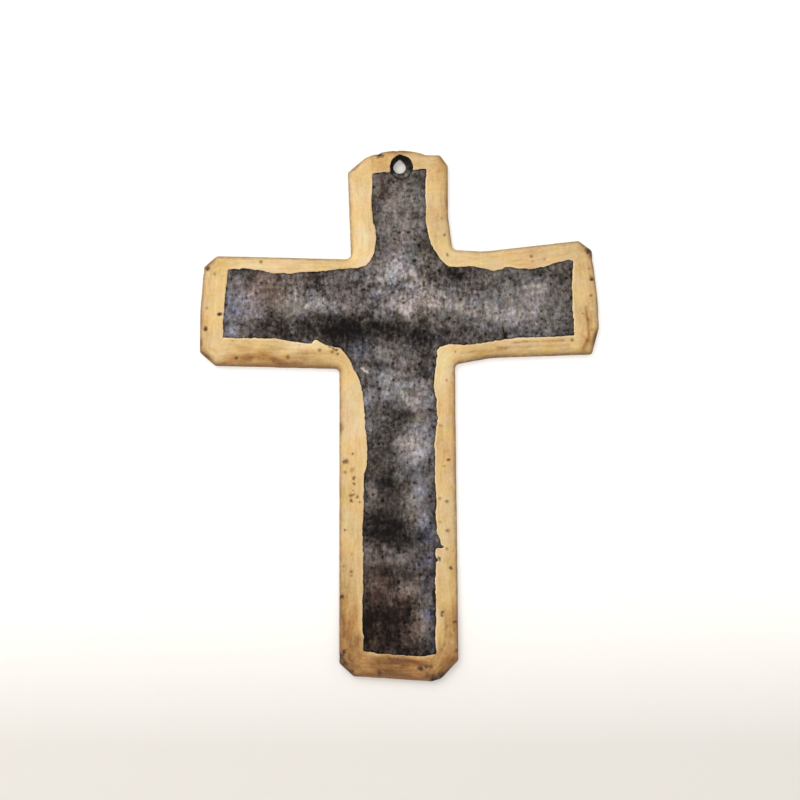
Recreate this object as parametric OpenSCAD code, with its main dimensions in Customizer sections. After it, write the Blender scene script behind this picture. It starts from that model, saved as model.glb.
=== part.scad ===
/* [Plate] */
// Height of the whole cross, from the crest of the head to the foot
cross_h = 120; // [100:1:150]
// Width of the whole cross, from arm tip to arm tip
cross_w = 90.4; // [75:0.1:115]
// Thickness of the iron sheet
plate_t = 1.6; // [1.3:0.1:3]

/* [Hanging hole] */
// Diameter of the punched hole
hole_d = 2.9; // [2.2:0.1:3.4]
// Distance from the crest of the head down to the middle of the hole
crest_above_hole = 4.1; // [3.8:0.1:6]
// How far a nail has worn the hole upwards, past its round edge
nail_wear = 0.35; // [0.1:0.05:0.5]
// Diameter of the dish that the punch pressed around the hole, on the front
dish_d = 5.4; // [4.8:0.1:6.4]
// Depth of the dish
dish_depth = 0.7; // [0.4:0.1:0.9]
// How far the dish sits to the right of the hole
dish_right = 0.4; // [0:0.1:0.6]
// How far the dish sits below the hole
dish_down = 0.2; // [0:0.1:0.5]

/* [Head] */
// Width of the head at its top, the short limb above the arms
head_w = 23.1; // [20:0.1:26]
// How far the middle of the head lies left of the hole
head_left = 0.4; // [0:0.1:1]
// Lean of the head's left side, outwards to its top, in degrees
head_left_lean = 2.3; // [0:0.1:4]
// Width of the flare at the root of the head's right side
head_flare_w = 1; // [0.2:0.1:2]
// Height of that flare above the right arm
head_flare_h = 8; // [5:0.5:12]
// Radius of the arched crest
crest_r = 18.5; // [14:0.5:30]
// Drop from the crest to the left shoulder of the head
head_left_drop = 1.8; // [1.2:0.1:2]
// Drop from the crest to the right shoulder of the head
head_right_drop = 1.1; // [0.8:0.1:1.5]
// Distance from the crest to the inner end of the right shoulder
head_shoulder_in = 6; // [5.5:0.1:6.5]
// Height of the corner clipped off the head's left shoulder
head_left_clip_h = 3.5; // [2:0.1:5]
// Width of the corner clipped off the head's right shoulder
head_right_clip_w = 1.8; // [1.5:0.1:3]
// Height of the corner clipped off the head's right shoulder
head_right_clip_h = 2.6; // [2:0.1:5]

/* [Left arm] */
// Width of the left arm, measured up and down
left_arm_w = 25.4; // [22:0.1:29]
// Distance from the hole down to the left arm's middle line, on the upright
left_arm_down = 34.6; // [31:0.1:38]
// Rise of the left arm towards its tip, in degrees
left_arm_rise = 1.4; // [0:0.1:4]
// Upper corner clipped off the left arm, along the arm
left_upper_clip_l = 2.9; // [2:0.1:5]
// Upper corner clipped off the left arm, across the arm
left_upper_clip_w = 2.7; // [2:0.1:5]
// Lower corner clipped off the left arm, along the arm
left_lower_clip_l = 3.7; // [2:0.1:6]
// Lower corner clipped off the left arm, across the arm
left_lower_clip_w = 3; // [2:0.1:5]
// How far the middle of the left tip bows out past its corners
left_tip_bow = 0.3; // [0:0.1:1]

/* [Right arm] */
// Width of the right arm, measured up and down
right_arm_w = 26.5; // [23:0.1:30]
// Distance from the hole down to the right arm's middle line, on the upright
right_arm_down = 33.6; // [30:0.1:37]
// Rise of the right arm towards its tip, in degrees
right_arm_rise = 4.2; // [0:0.1:6]
// Distance from the upright's middle to where the right arm is narrowest
right_waist_x = 20; // [17:0.1:24]
// How far each long edge of the right arm pulls in there
right_waist = 0.9; // [0:0.1:1.2]
// Upper corner clipped off the right arm, along the arm
right_upper_clip_l = 2.8; // [2:0.1:5]
// Upper corner clipped off the right arm, across the arm
right_upper_clip_w = 2.5; // [1.5:0.1:5]
// Lower corner clipped off the right arm, along the arm
right_lower_clip_l = 2.2; // [1.5:0.1:5]
// Lower corner clipped off the right arm, across the arm
right_lower_clip_w = 6; // [3:0.1:7]
// How far the middle of the right tip bows out past its corners
right_tip_bow = 0.3; // [0:0.1:1]

/* [Leg] */
// Width of the leg, the long limb below the arms
leg_w = 26.1; // [23:0.1:30]
// How far the middle of the leg lies left of the hole, at the hole's height
leg_left = 0.75; // [0:0.05:1.5]
// Lean of the leg to the right towards its foot, in degrees
leg_lean = 0.3; // [0:0.05:2]
// Distance from the leg's middle line to the lowest point of the foot, to the right
foot_low_x = 7.3; // [5:0.1:8]
// Height of the foot's left corner above its lowest point
foot_left_up = 1.1; // [0.5:0.1:2]
// Height of the foot's right corner above its lowest point
foot_right_up = 0.4; // [0.1:0.1:1]
// Width of the corner clipped off the foot's left side
foot_left_clip_w = 3.2; // [2:0.1:5]
// Height of the corner clipped off the foot's left side
foot_left_clip_h = 2.9; // [2:0.1:6]
// Width of the corner clipped off the foot's right side
foot_right_clip_w = 4; // [2:0.1:5]
// Height of the corner clipped off the foot's right side
foot_right_clip_h = 4.2; // [2:0.1:6]

/* [Worn corners] */
// Radius of the four inner corners, where the shears stopped
inner_r = 1; // [0.5:0.1:2]
// Radius of the clipped corners, rubbed by handling
clip_r = 0.6; // [0.3:0.1:1]
// Radius of the soft bends in the long edges
bend_r = 8; // [3:0.5:12]

/* [Hidden] */
// Turn of each straight step in a rounded corner, in degrees
corner_step = 15;
// Straight steps in the arched crest
crest_steps = 8;
// Width of the short slope between the arched crest and the right shoulder
shoulder_slope = 1;
// Facets of the round cutters
round_fn = 64;
// How far a cutter stands out past the face that it cuts
past = 1;
// How much sharper the worn point is than a tangent one, in degrees
point_sharper = 6;
hole_r = hole_d / 2;

// Directions in which the limbs point, counter-clockwise from the right
left_arm_dir = 180 - left_arm_rise;
right_arm_dir = right_arm_rise;
leg_dir = leg_lean - 90;

// Points where the limbs' middle lines start
left_arm_start = [0, -left_arm_down];
right_arm_start = [0, -right_arm_down];
leg_start = [-leg_left, 0];

head_half = head_w / 2;
left_half = left_arm_w / 2;
right_half = right_arm_w / 2;
leg_half = leg_w / 2;

// Point on a limb, p = [along its middle line, across it to the left of its direction]
function on_limb(start, dir, p) = start
    + p[0] * [cos(dir), sin(dir)]
    + p[1] * [-sin(dir), cos(dir)];

// Point where the line through p in direction a crosses the line through q in direction b
function meet(p, a, q, b) =
    let (d = q - p, along = (d[0] * sin(b) - d[1] * cos(b)) / sin(b - a))
    p + along * [cos(a), sin(a)];

// Where the arms' long edges start, on the upright's middle
left_arm_top = on_limb(left_arm_start, left_arm_dir, [0, -left_half]);
left_arm_bottom = on_limb(left_arm_start, left_arm_dir, [0, left_half]);
right_arm_top = on_limb(right_arm_start, right_arm_dir, [0, right_half]);
right_arm_bottom = on_limb(right_arm_start, right_arm_dir, [0, -right_half]);

// Length of an arm whose bowed tip and lower tip corner stay within half the cross's width
function arm_length(rise, bow, low) = min(
    cross_w / 2 / cos(rise),
    (cross_w / 2 - low * sin(rise)) / cos(rise) + bow);

left_arm_l = arm_length(left_arm_rise, left_tip_bow, left_half - left_lower_clip_w);
right_arm_l = arm_length(right_arm_rise, right_tip_bow, right_half - right_lower_clip_w);

foot_z = crest_above_hole - cross_h;
foot_x = -leg_left - foot_z * tan(leg_lean);
left_shoulder_z = crest_above_hole - head_left_drop;
right_shoulder_z = crest_above_hole - head_right_drop;

// The head's sides: the left one at its clipped corner, the right one where its flare starts
head_left_x = -head_left - head_half;
head_right_x = head_half - head_left;
head_left_corner = [head_left_x, left_shoulder_z - head_left_clip_h];
flare_z = right_arm_top[1] + head_right_x * tan(right_arm_rise) + head_flare_h;
flare_dir = -90 + atan(head_flare_w / head_flare_h);

// Height of the arched crest at x
function crest_z(x) = crest_above_hole - crest_r + sqrt(crest_r * crest_r - x * x);

// Where the arch reaches the left shoulder, and where it ends before the right shoulder
crest_left_x = -sqrt(crest_r * crest_r - pow(crest_r - head_left_drop, 2));
crest_right_x = head_shoulder_in - shoulder_slope;

// Corners of the right arm from its lower edge to its upper edge, each as [point, radius]
right_arm_corners = [for (c = [
    [right_waist_x, right_waist - right_half, bend_r],
    [right_arm_l - right_tip_bow - right_lower_clip_l, -right_half, clip_r],
    [right_arm_l - right_tip_bow, right_lower_clip_w - right_half, clip_r],
    [right_arm_l, 0, bend_r],
    [right_arm_l - right_tip_bow, right_half - right_upper_clip_w, clip_r],
    [right_arm_l - right_tip_bow - right_upper_clip_l, right_half, clip_r],
    [right_waist_x, right_half - right_waist, bend_r],
]) [on_limb(right_arm_start, right_arm_dir, c), c[2]]];

// Corners of the left arm from its upper edge to its lower edge
left_arm_corners = [for (c = [
    [left_arm_l - left_tip_bow - left_upper_clip_l, -left_half, clip_r],
    [left_arm_l - left_tip_bow, left_upper_clip_w - left_half, clip_r],
    [left_arm_l, 0, bend_r],
    [left_arm_l - left_tip_bow, left_half - left_lower_clip_w, clip_r],
    [left_arm_l - left_tip_bow - left_lower_clip_l, left_half, clip_r],
]) [on_limb(left_arm_start, left_arm_dir, c), c[2]]];

// Corners of the head from its right side over the arched crest to its left side
head_corners = [
    [[head_right_x, flare_z], bend_r],
    [[head_right_x, right_shoulder_z - head_right_clip_h], clip_r],
    [[head_right_x - head_right_clip_w, right_shoulder_z], clip_r],
    [[head_shoulder_in, right_shoulder_z], 0],
    for (k = [0 : crest_steps])
        let (x = crest_right_x + k / crest_steps * (crest_left_x - crest_right_x))
        [[x, crest_z(x)], 0],
    [head_left_corner, clip_r],
];

// Corners of the foot from the leg's left side to its right side
foot_corners = [for (c = [
    [-leg_half, foot_left_up + foot_left_clip_h],
    [foot_left_clip_w - leg_half, foot_left_up],
    [foot_low_x, 0],
    [leg_half - foot_right_clip_w, foot_right_up],
    [leg_half, foot_right_up + foot_right_clip_h],
]) [[foot_x + c[0], foot_z + c[1]], clip_r]];

// The four inner corners, where one limb's side meets the next one's
right_arm_to_head = meet(
    [head_right_x, flare_z], flare_dir, right_arm_top, right_arm_dir);
head_to_left_arm = meet(
    head_left_corner, head_left_lean - 90, left_arm_top, left_arm_dir);
left_arm_to_leg = meet(
    left_arm_bottom, left_arm_dir, on_limb(leg_start, leg_dir, [0, -leg_half]), leg_dir);
leg_to_right_arm = meet(
    on_limb(leg_start, leg_dir, [0, leg_half]), leg_dir, right_arm_bottom, right_arm_dir);

// The whole outline, counter-clockwise
corners = [
    each right_arm_corners,
    [right_arm_to_head, inner_r],
    each head_corners,
    [head_to_left_arm, inner_r],
    each left_arm_corners,
    [left_arm_to_leg, inner_r],
    each foot_corners,
    [leg_to_right_arm, inner_r],
];

// Corner i of the outline as an arc that touches both of its edges, or as it is if its radius is 0
function rounded(i) =
    let (
        n = len(corners),
        p = corners[i][0],
        to_last = corners[(i + n - 1) % n][0] - p,
        to_next = corners[(i + 1) % n][0] - p,
        a = atan2(to_last[1], to_last[0]),
        b = atan2(to_next[1], to_next[0]),
        opening = (a - b + 360) % 360,
        convex = opening < 180,
        half_angle = (convex ? opening : 360 - opening) / 2,
        middle = convex ? b + half_angle : b - half_angle,
        r = corners[i][1],
        centre = p + r / sin(half_angle) * [cos(middle), sin(middle)],
        turn = (90 - half_angle) * (convex ? 1 : -1),
        steps = ceil(2 * abs(turn) / corner_step)
    )
    r == 0 ? [p] : [for (k = [0 : steps])
        let (angle = middle + 180 + turn * (2 * k / steps - 1))
        centre + r * [cos(angle), sin(angle)]];

outline = [for (i = [0 : len(corners) - 1]) each rounded(i)];

// A prism of the given outline that runs from the back plane to past the front face
module through_plate() {
    rotate([90, 0, 0])
        translate([0, 0, -past])
            linear_extrude(plate_t + 2 * past)
                children();
}

// The round bore, with the point that a nail has worn at its top
module nail_hole() {
    peak = hole_r + nail_wear;
    half_angle = asin(hole_r / peak) - point_sharper;
    // Where each side of the point comes nearest to the bore's middle
    side_x = peak * sin(half_angle) * cos(half_angle);
    side_z = peak * sin(half_angle) * sin(half_angle);
    rotate([90, 0, 0])
        translate([0, 0, -past])
            cylinder(h = plate_t + 2 * past, r = hole_r, $fn = round_fn);
    through_plate()
        polygon([[0, 0], [side_x, side_z], [0, peak], [-side_x, side_z]]);
}

// The shallow cone that the punch pressed into the front
module punch_dish() {
    widening = (dish_d / 2 - hole_r) / dish_depth;
    translate([dish_right, dish_depth - plate_t, -dish_down])
        rotate([90, 0, 0])
            cylinder(
                h = dish_depth + past,
                r1 = hole_r,
                r2 = dish_d / 2 + widening * past,
                $fn = round_fn);
}

// The cross, cut in one piece from iron sheet, its back on the wall plane
module cross() {
    color([0.33, 0.29, 0.28])
        difference() {
            rotate([90, 0, 0])
                linear_extrude(plate_t)
                    polygon(outline);
            nail_hole();
            punch_dish();
        }
}

cross();
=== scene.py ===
import math

import bmesh
import bpy
import numpy as np
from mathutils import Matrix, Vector
from mathutils.geometry import delaunay_2d_cdt
from mathutils.kdtree import KDTree


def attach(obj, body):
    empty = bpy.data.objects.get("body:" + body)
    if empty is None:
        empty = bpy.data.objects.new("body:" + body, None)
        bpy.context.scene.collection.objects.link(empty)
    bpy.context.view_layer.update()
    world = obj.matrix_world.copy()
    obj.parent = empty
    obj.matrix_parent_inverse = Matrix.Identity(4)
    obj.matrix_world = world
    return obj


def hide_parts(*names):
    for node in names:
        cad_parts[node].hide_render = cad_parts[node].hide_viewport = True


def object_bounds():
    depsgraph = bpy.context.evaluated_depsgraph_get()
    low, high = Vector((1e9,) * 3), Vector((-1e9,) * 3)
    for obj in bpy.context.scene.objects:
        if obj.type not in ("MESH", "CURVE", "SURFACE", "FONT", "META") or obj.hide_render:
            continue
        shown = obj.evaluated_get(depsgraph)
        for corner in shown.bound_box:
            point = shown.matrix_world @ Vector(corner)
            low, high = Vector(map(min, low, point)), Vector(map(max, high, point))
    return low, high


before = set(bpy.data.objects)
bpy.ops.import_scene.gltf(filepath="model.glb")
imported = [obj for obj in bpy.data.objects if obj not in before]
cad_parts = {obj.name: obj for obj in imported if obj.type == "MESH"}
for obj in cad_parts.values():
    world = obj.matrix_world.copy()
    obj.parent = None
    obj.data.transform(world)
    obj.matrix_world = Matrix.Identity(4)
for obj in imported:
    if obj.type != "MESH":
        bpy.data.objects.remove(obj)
cad_low, cad_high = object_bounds()

# A cross cut by hand from thin sheet iron, with a border of gold paint brushed round its front.
# Sizes are in millimetres until a mesh is made. The origin is the middle of the hanging hole, on the back.
# x runs to the right, z up, and the painted front looks towards -y.
MM = 0.001
THICK = (cad_high.y - cad_low.y) / MM

# The sheet
FRONT_STEP = 0.33        # spacing of the points on the iron's front
BACK_STEP = 0.75
RIM_STEP = 0.3
SCRATCH_STEP = 0.16
CROWDED = 0.09           # a square of this size holds one loose point at most
SCRATCH_CLEAR = 0.2      # loose points keep this far from a scratch
FRONT_RIM_ROWS = (0.07, 0.17, 0.3, 0.52)       # rows of points this far in from the cut edge
FRONT_RIM_CLEAR = 0.68   # loose points keep this far from the edge, past its rows
BACK_RIM_ROWS, BACK_RIM_CLEAR = (0.12, 0.4), 0.7
BACK_HOLE_ROWS, BACK_HOLE_CLEAR = (0.1, 0.25, 0.45, 0.7), 1.0
PAINT_LINE_ROWS = (-0.45, -0.2, 0.0)           # rows this far out from the painted edge
WALL_ROWS = (0.2, 0.4, 0.6, 0.8)               # shares of the way from the front to the back
EDGE_ROOM = 0.05         # the iron stays this far inside the solid's outline, so that paint can lap over it
IRON_SINK = 0.1          # the bare iron lies this far under the paint's highest point
ROLL_WIDTH, ROLL_DROP = 2.4, 0.3               # the border falls away towards the cut edge
CORNER_WIDTH, CORNER_DROP = 0.32, 0.24
BACK_SINK = 0.05
BACK_CORNER_WIDTH, BACK_CORNER_DROP = 0.4, 0.14
# Nicks in the cut edge: x, z, reach, depth
NICKS = [
    (-4.9, 3.2, .5, .34), (-.7, 4, .3, .22), (-13.6, -110.8, .8, .16), (8.4, -115.4, 1, .16),
    (44.6, -22, .9, .2), (-44.6, -24.4, .7, .15), (-3.4, -115.6, .5, .15),
]

# The hanging hole, punched from the front
HOLE_RADIUS = 1.45
HOLE_COUNT = 84          # points round it
HOLE_PEAK = 0.58         # how far the nail wore its top upwards
DISH_CENTRE = (0.4, -0.2)
DISH_RADII = (2.55, 2.9)
DISH_DEPTH = 0.78
# Rows of points, as shares of the way from the hole's edge to the dish's
DISH_ROWS = (0.06, 0.16, 0.3, 0.46, 0.62, 0.78, 0.92, 1.0, 1.06, 1.14)
# Other points and paint start this far out, as a share of the dish's own reach
LOOSE_FROM, PAINT_LINE_FROM, BEAD_FROM = 1.22, 1.24, 1.35

# The paint
FILM = 0.055
FILM_STEP = 0.27
FILM_CROWDED = 0.11
FILM_RIM_ROWS, FILM_RIM_CLEAR = (0.07, 0.17, 0.3, 0.5), 0.64
FILM_INNER_ROWS, FILM_INNER_CLEAR = (0.08, 0.2, 0.34, 0.52), 0.66
FILM_EDGE_CLEAR = 0.05   # no point but the edges' own lies nearer to them
BEAD_RADIUS = 0.075
BEAD_OUT = 0.07          # how far its middle line is from the painted edge
BEAD_RISE = 0.012        # and how far from the iron
BEAD_LUMP = 2.2          # the length over which it swells and thins
BEAD_FLATNESS = 0.55     # 1 would press it quite flat
BEAD_SIDES = 8
LAP = 0.05               # how far the paint stands proud of the cut edge
LAP_END = -0.14          # how near the back the paint comes, as y
# Rows down the cut edge: share of the way down, share of the full lap
LAP_ROWS = ((0.12, 0.6), (0.35, 1), (0.7, 1), (0.93, 0.8), (1.0, 0.2))

# The rust blisters
BLISTER_RADIUS = 0.5
BLISTER_HEIGHT = 0.2     # as a share of the radius
BLISTERS_PER_AREA = 0.55           # to the square millimetre, where the rust is at its worst
BLISTER_RIM_CLEAR, BLISTER_HOLE_CLEAR = 0.6, 3.2
BLISTER_SEED = 4

# The inner edge of the gold border, clockwise from the left of the hanging hole
HEAD_TOP_RIGHT = [(4.2, -0.6), (6.2, -0.4)]
HEAD_RIGHT = [
    (6.2, -2.2), (5.9, -4.6), (6.0, -8), (6.1, -13.5), (6.6, -16.2), (7.4, -18.7), (9.2, -21.8),
    (11.2, -23.6),
]
RIGHT_ARM_TOP = [
    (13.6, -23.7), (16.2, -23.4), (18.8, -23.8), (21.2, -24.4), (23.3, -24.3), (24.1, -23.6), (25, -23.6),
    (28.2, -24), (31, -24), (33, -23.6), (35.1, -22.7), (37.4, -22), (38.4, -21.7),
]
RIGHT_ARM_END = [(39.6, -22.1), (39.4, -25.5), (39.2, -28.1), (39.1, -31.5), (39.3, -34.8), (39.5, -39.4)]
RIGHT_ARM_BOTTOM = [
    (36, -39.7), (31.8, -39.8), (27.6, -39.9), (23.8, -40.2), (22.8, -40.5), (19.2, -41.1), (16.1, -41.5),
    (13.4, -41.5), (11.2, -41.5), (9.2, -42),
]
LEG_RIGHT = [
    (8.4, -42.9), (8.5, -44.2), (8.2, -46.4), (8, -48.4), (7.7, -50.3), (7.9, -52.4), (8.4, -54.4),
    (8.2, -56), (8.6, -58), (8.2, -61), (7.9, -64), (7.9, -69), (8.1, -74.8), (8.2, -77.5), (8, -80.5),
    (8.3, -82.4), (8.1, -83.2), (8.6, -84.1), (9, -85.2), (9.1, -86.3), (10, -86.8), (9.4, -87.1),
    (8.1, -87), (7.9, -88.2), (8.1, -89.2), (8.6, -89.6), (8, -90.2), (7.9, -94.8), (8, -99), (8, -103),
    (7.8, -106.5), (8.1, -110),
]
LEG_BOTTOM = [(5, -110.5), (1.5, -110.4), (-0.5, -110.3), (-4, -109.9), (-7.9, -109.4)]
LEG_LEFT = [
    (-8, -107.2), (-7.8, -106.2), (-8.1, -105.4), (-8, -95), (-8.1, -86), (-8.1, -79), (-7.9, -74.5),
    (-7.9, -71), (-7.3, -68.3), (-7.3, -65.4), (-7.4, -61.5), (-7.7, -58.9), (-7.9, -55), (-8.5, -51.4),
    (-9.4, -48.6), (-10.9, -45.7), (-12.3, -43.6), (-13.6, -42.3),
]
LEFT_ARM_BOTTOM = [
    (-15.2, -42), (-17, -41.6), (-18.8, -40.5), (-19.4, -40.8), (-19.7, -41.4), (-21.2, -41.3),
    (-24.6, -40.7), (-28.3, -40.2), (-33, -40.1), (-39.9, -40),
]
LEFT_ARM_END = [(-39.9, -37.5), (-39.7, -34), (-39.5, -30.5), (-39.2, -27), (-39, -24.2)]
LEFT_ARM_TOP = [
    (-35, -23.9), (-31.7, -24.4), (-28.6, -25), (-26.4, -24.9), (-25.4, -25.2), (-22.4, -24.8),
    (-19.4, -24.8), (-16.4, -24.4), (-13.8, -24.1), (-11.9, -23.9), (-9.6, -23.9), (-7.6, -23.2),
]
HEAD_LEFT = [
    (-6.3, -21.6), (-5.7, -19.6), (-5.4, -17), (-5.5, -14.5), (-6.1, -13), (-6.3, -11.2), (-6.6, -9),
    (-6.4, -6.1), (-6.2, -3.6), (-6.3, -1.7),
]
HEAD_TOP_LEFT = [(-4.6, -1.3), (-2.9, -1.3)]

DRIP = (9.6, -86.8)        # the brush slipped here, and the edge stays as it was drawn

# Worn bright places and dark places on the iron, with painted reflections of the light on its wavy sheet:
# middle x, z, half width, half height, how much lighter
IRON_WEAR_AND_REFLECTIONS = [
    (-36, -31, 5, 5, .2), (-25, -25, 5, 2, .14), (-24, -32, 8, 2.4, .22), (-15, -32, 7, 2, .16),
    (-37.5, -38.5, 2.5, 3, .22), (-1, -25.5, 6, 4, .2), (4.5, -29, 4, 3.5, .24), (12, -32, 9, 2.8, .24),
    (27, -33, 10, 3.5, .2), (29, -28, 5, 3, .16), (24, -36, 7, 2.4, .14), (0, -33, 5, 3, .2),
    (1, -8, 4, 3, .2), (0, -14, 4.5, 3, .16), (0, -22.5, 4, 2.5, .2), (-1, -4, 6, 2, .06),
    (0, -51, 6, 4, .18), (4, -54, 3, 3.5, .16), (3.6, -64.5, 3.8, 4, .34), (-3.4, -64.6, 3, 3.2, -.24),
    (3.5, -75.5, 3.2, 3.4, .22), (4.4, -81, 3, 2.6, .12), (6, -86.6, 2.4, 2.8, -.08),
    (6.4, -95, 1.5, 8, .04), (-2, -88.4, 6, 1.8, .1), (3.6, -89, 3, 5, .08), (4.4, -104, 2.8, 4.5, .26),
    (2.4, -96, 1.8, 3.2, .24), (-.2, -92.4, 3, 1.7, -.16), (-7.4, -52.5, 1.6, 3.4, .12),
    (-27, -37, 6, 2.6, -.24), (-13, -38.2, 8, 3.2, -.46), (-1.5, -38.2, 6, 2.6, -.22),
    (5, -39, 4.5, 3, -.22), (12, -25.5, 5, 2.2, -.26), (-33, -25, 4, 1.6, -.08), (13, -40.4, 6, 2, -.12),
    (-1.2, -57.6, 3.6, 3.4, -.22), (-2.8, -73.2, 3.8, 3.6, -.36), (-6.8, -74.2, 1.2, 1.8, .16),
    (-4.6, -46.8, 1.8, .9, -.3), (-6.2, -58, 1.6, 3, .08), (-4, -82.2, 5.4, 3.4, -.44),
    (-.5, -85.4, 4, 2.2, -.3), (-4, -92, 5, 2.2, -.2), (-2, -97.5, 6, 3.4, -.09),
    (-4, -104.8, 7.5, 5.5, -.43), (1, -100.5, 3, 3, -.16), (5, -109.2, 5, 2, -.34), (7.6, -96, .9, 9, -.12),
    (6.8, -46.5, 2.4, 4, -.16), (-5, -9, 2.4, 4, -.1), (5, -18, 2.5, 4, -.08), (.5, -34.6, 2, 1.8, .42),
    (-3.4, -34.8, 1.6, 1.6, -.12), (-7, -56.7, 1.6, 2, .14), (3.3, -102.8, 2, 2, .12),
    (-38, -39, 1.6, 1.2, .14), (-5.2, -25.8, 2, 1.4, .12), (6.2, -28.6, 2, 1.6, .12),
    (-.3, -65.5, 1.8, 1.8, .12), (-21.6, -25, 3, 1.2, -.13), (20, -24.4, 3, 1.2, -.12),
    (-31.8, -35.2, 2.2, 1.6, .28), (28.5, -29.3, 2.2, 1.8, .15), (10.7, -37.6, 2.4, 1.6, .16),
    (5.3, -16.2, 1.4, 2.2, .14), (-7.9, -32.6, 2, 1.8, .15), (32.3, -39.2, 2.4, 1.4, .14),
    (-25.7, -36.2, 2, 1.6, .15), (-4.8, -44.8, 2, 1.6, .15), (-21.9, -34.2, 2.2, 1.6, -.14),
    (35.4, -35.1, 2.6, 1.8, .14), (11.6, -41, 2, 1.2, .12), (-3.7, -50.6, 2, 2, .13), (.2, -7, 2, 1.6, .12),
    (-11.7, -29.7, 2.2, 1.8, -.14), (-6.5, -36, 3, 2, -.12), (36, -26, 3, 4, -.06),
    (-20, -27.5, 5, 2, -.08), (-8, -62, 2, 8, -.06),
]
BLUE_PATCHES = [
    (-36.5, -34, 4, 4, .9), (-7, -29.5, 4, 4, .6), (1, -30.5, 3, 3, .5), (-8.5, -42, 4, 4, .7),
    (5.8, -73, 2.4, 6, .4), (6.2, -87.2, 2.4, 3.6, 1.2), (6.3, -96, 1.8, 10, 1.8), (6.5, -52, 2, 6, .4),
    (25, -38, 8, 2.5, .45), (6, -40, 4, 2, .6), (-6.5, -53, 2, 5, .6), (-37.5, -38.5, 2.5, 2.5, .6),
]
BROWN_PATCHES = [
    (-30.5, -29.2, 5, 4.6, 1), (-23, -25, 6, 2, .5), (-3, -96.5, 5.4, 6, 1.1), (-3.4, -106, 7, 6, 1.2),
    (4, 1.4, 4, 2, .8), (-4.4, -3.4, 2.4, 2.6, .6), (-5, -69, 3, 6, .25), (0, -79, 5, 3, .2),
    (4, -34, 6, 5, .2), (0, -10, 5, 8, .3),
]
# Where the grain of the iron is coarse or, below nought, fine
MOTTLE_PATCHES = [(0, -28, 12, 7, .34), (-25, -31, 12, 6, .1), (0, -52, 6, 8, .12), (0, -92, 8, 16, -.12)]
# Hairline scratches on the iron: both ends, width, how much lighter
IRON_SCRATCHES = [
    (-8.6, -46.9, -8, -47.2, .16, .8), (-7.9, -47.5, -7.2, -47.8, .2, .7),
    (-6.9, -48.2, -6.7, -48.3, .1, .4), (19.6, -25, 19.7, -40.6, .1, .12),
    (23.3, -37.5, 23.8, -40, .22, -.4), (22.3, -28.5, 22.6, -36.5, .2, -.12),
    (-5.4, -35.2, -3.2, -36.4, .12, .2), (-4.4, -37.6, -3.8, -34.6, .1, .16),
    (-9.2, -36.6, -7.6, -35.8, .12, .2), (4.4, -97, 5.4, -104, .12, .12), (-6.6, -90, -6.8, -99, .1, .1),
]
# Worn or dirty lengths of the cut edge: x, z, reach, strength
EDGE_WEAR = [
    (-12.9, -112.2, 2.2, 1), (-11.6, -113.6, 1.8, 1), (-10.2, -114.8, 1.2, .9), (10.6, -114, 2.2, 1),
    (7.8, -115.6, 1.6, 1), (44.4, -39.8, 2, .75), (43.9, -20.2, 1.5, 1), (44.7, -22.4, 1, .8),
    (42.4, -17.8, 1.6, .6), (-43.2, -22.4, 2, .5), (-43.2, -43.4, 2, .8), (-45, -41.2, 1, .7),
    (-10.7, .2, 1.5, .45), (9.9, 1.6, 1.4, .5), (-4.7, 3.2, .8, 1), (-13.3, -60.4, 1.1, .6),
    (12.9, -103, 2, .4), (-1, -116, 9, .3), (-45, -33, 4, .3), (0, 4, 3, .5), (11.6, -8, 1, .5),
    (-24, -45.4, 9, .35),
]
# Specks and chips in the gold, where dirt or iron shows: x, z, radius, strength
GOLD_CHIPS = [
    (-12, -67.9, .45, .8), (-10.4, -66.3, .2, .6), (-10.5, -69.8, .42, .35), (-10.2, -71.6, .32, .7),
    (-10, -72.8, .26, .7), (-10.3, -74.4, .2, .6), (-10.8, -75.4, .34, .6), (-10.1, -75.2, .24, .6),
    (-9.4, -75.8, .24, .6), (-10.7, -76.6, .28, .8), (-8.9, -76.9, .2, .7), (-12.1, -83.1, .28, .9),
    (-12.3, -91, .2, .5), (-12.6, -97.6, .42, 1), (-15.6, -41.8, .26, .8), (-14.9, -42.3, .3, .7),
    (-14.2, -42.8, .26, .9), (-13.9, -43.7, .2, .7), (-15.2, -43.3, .2, .6), (-40.7, -34.6, .34, 1),
    (-43.8, -37.9, .36, 1), (-36.8, -44.6, .34, .9), (-25.2, -44.3, .4, .6), (-28, -44.6, .3, .3),
    (-43.6, -24.1, .42, 1), (12.4, -41.2, .32, .8), (12.6, -43.2, .24, .5), (10.6, -49.6, .22, .5),
    (10.6, -83.2, .3, .5), (11.3, -91.4, .26, .9), (8.6, -89.4, .3, .9), (9.4, -101, .26, .8),
    (9.3, -101.7, .2, .7), (12.2, -103, .32, 1), (12.4, -109.2, .3, .8), (11.3, -106, .6, .3),
    (9.9, -68.9, .2, .5), (10.9, -67.5, .26, .8), (9.4, -60, .2, .4), (43, -19.9, .5, 1),
    (44.2, -21.9, .3, .8), (43.7, -26.4, .42, 1), (43, -24, .22, .5), (30.2, -22.3, .2, .5),
    (42.6, -35.8, .26, .5), (41.4, -34.4, .24, .5), (10.3, -16.2, .24, .6), (11, -20.8, .26, .5),
    (9.6, -12.2, .18, .5), (-4.7, 2.9, .5, 1), (-3.9, 2.6, .3, .7), (-9, 5, .2, .4), (-12.1, -109.6, .5, 1),
    (-12.8, -110.6, .8, 1), (-12, -112, .6, 1), (-10.4, -113.6, .45, .9), (-4.3, -113.9, .5, 1),
    (-2.1, -114.2, .36, .8), (-.4, -111.2, .3, .8), (4.6, -113, .5, 1), (5.8, -112.8, .4, .9),
    (6.8, -112.6, .36, .8), (6.2, -114.6, .5, .8), (7.4, -115.2, .8, 1), (9, -114.4, .7, 1),
    (1.5, -115, .3, .5),
]
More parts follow.
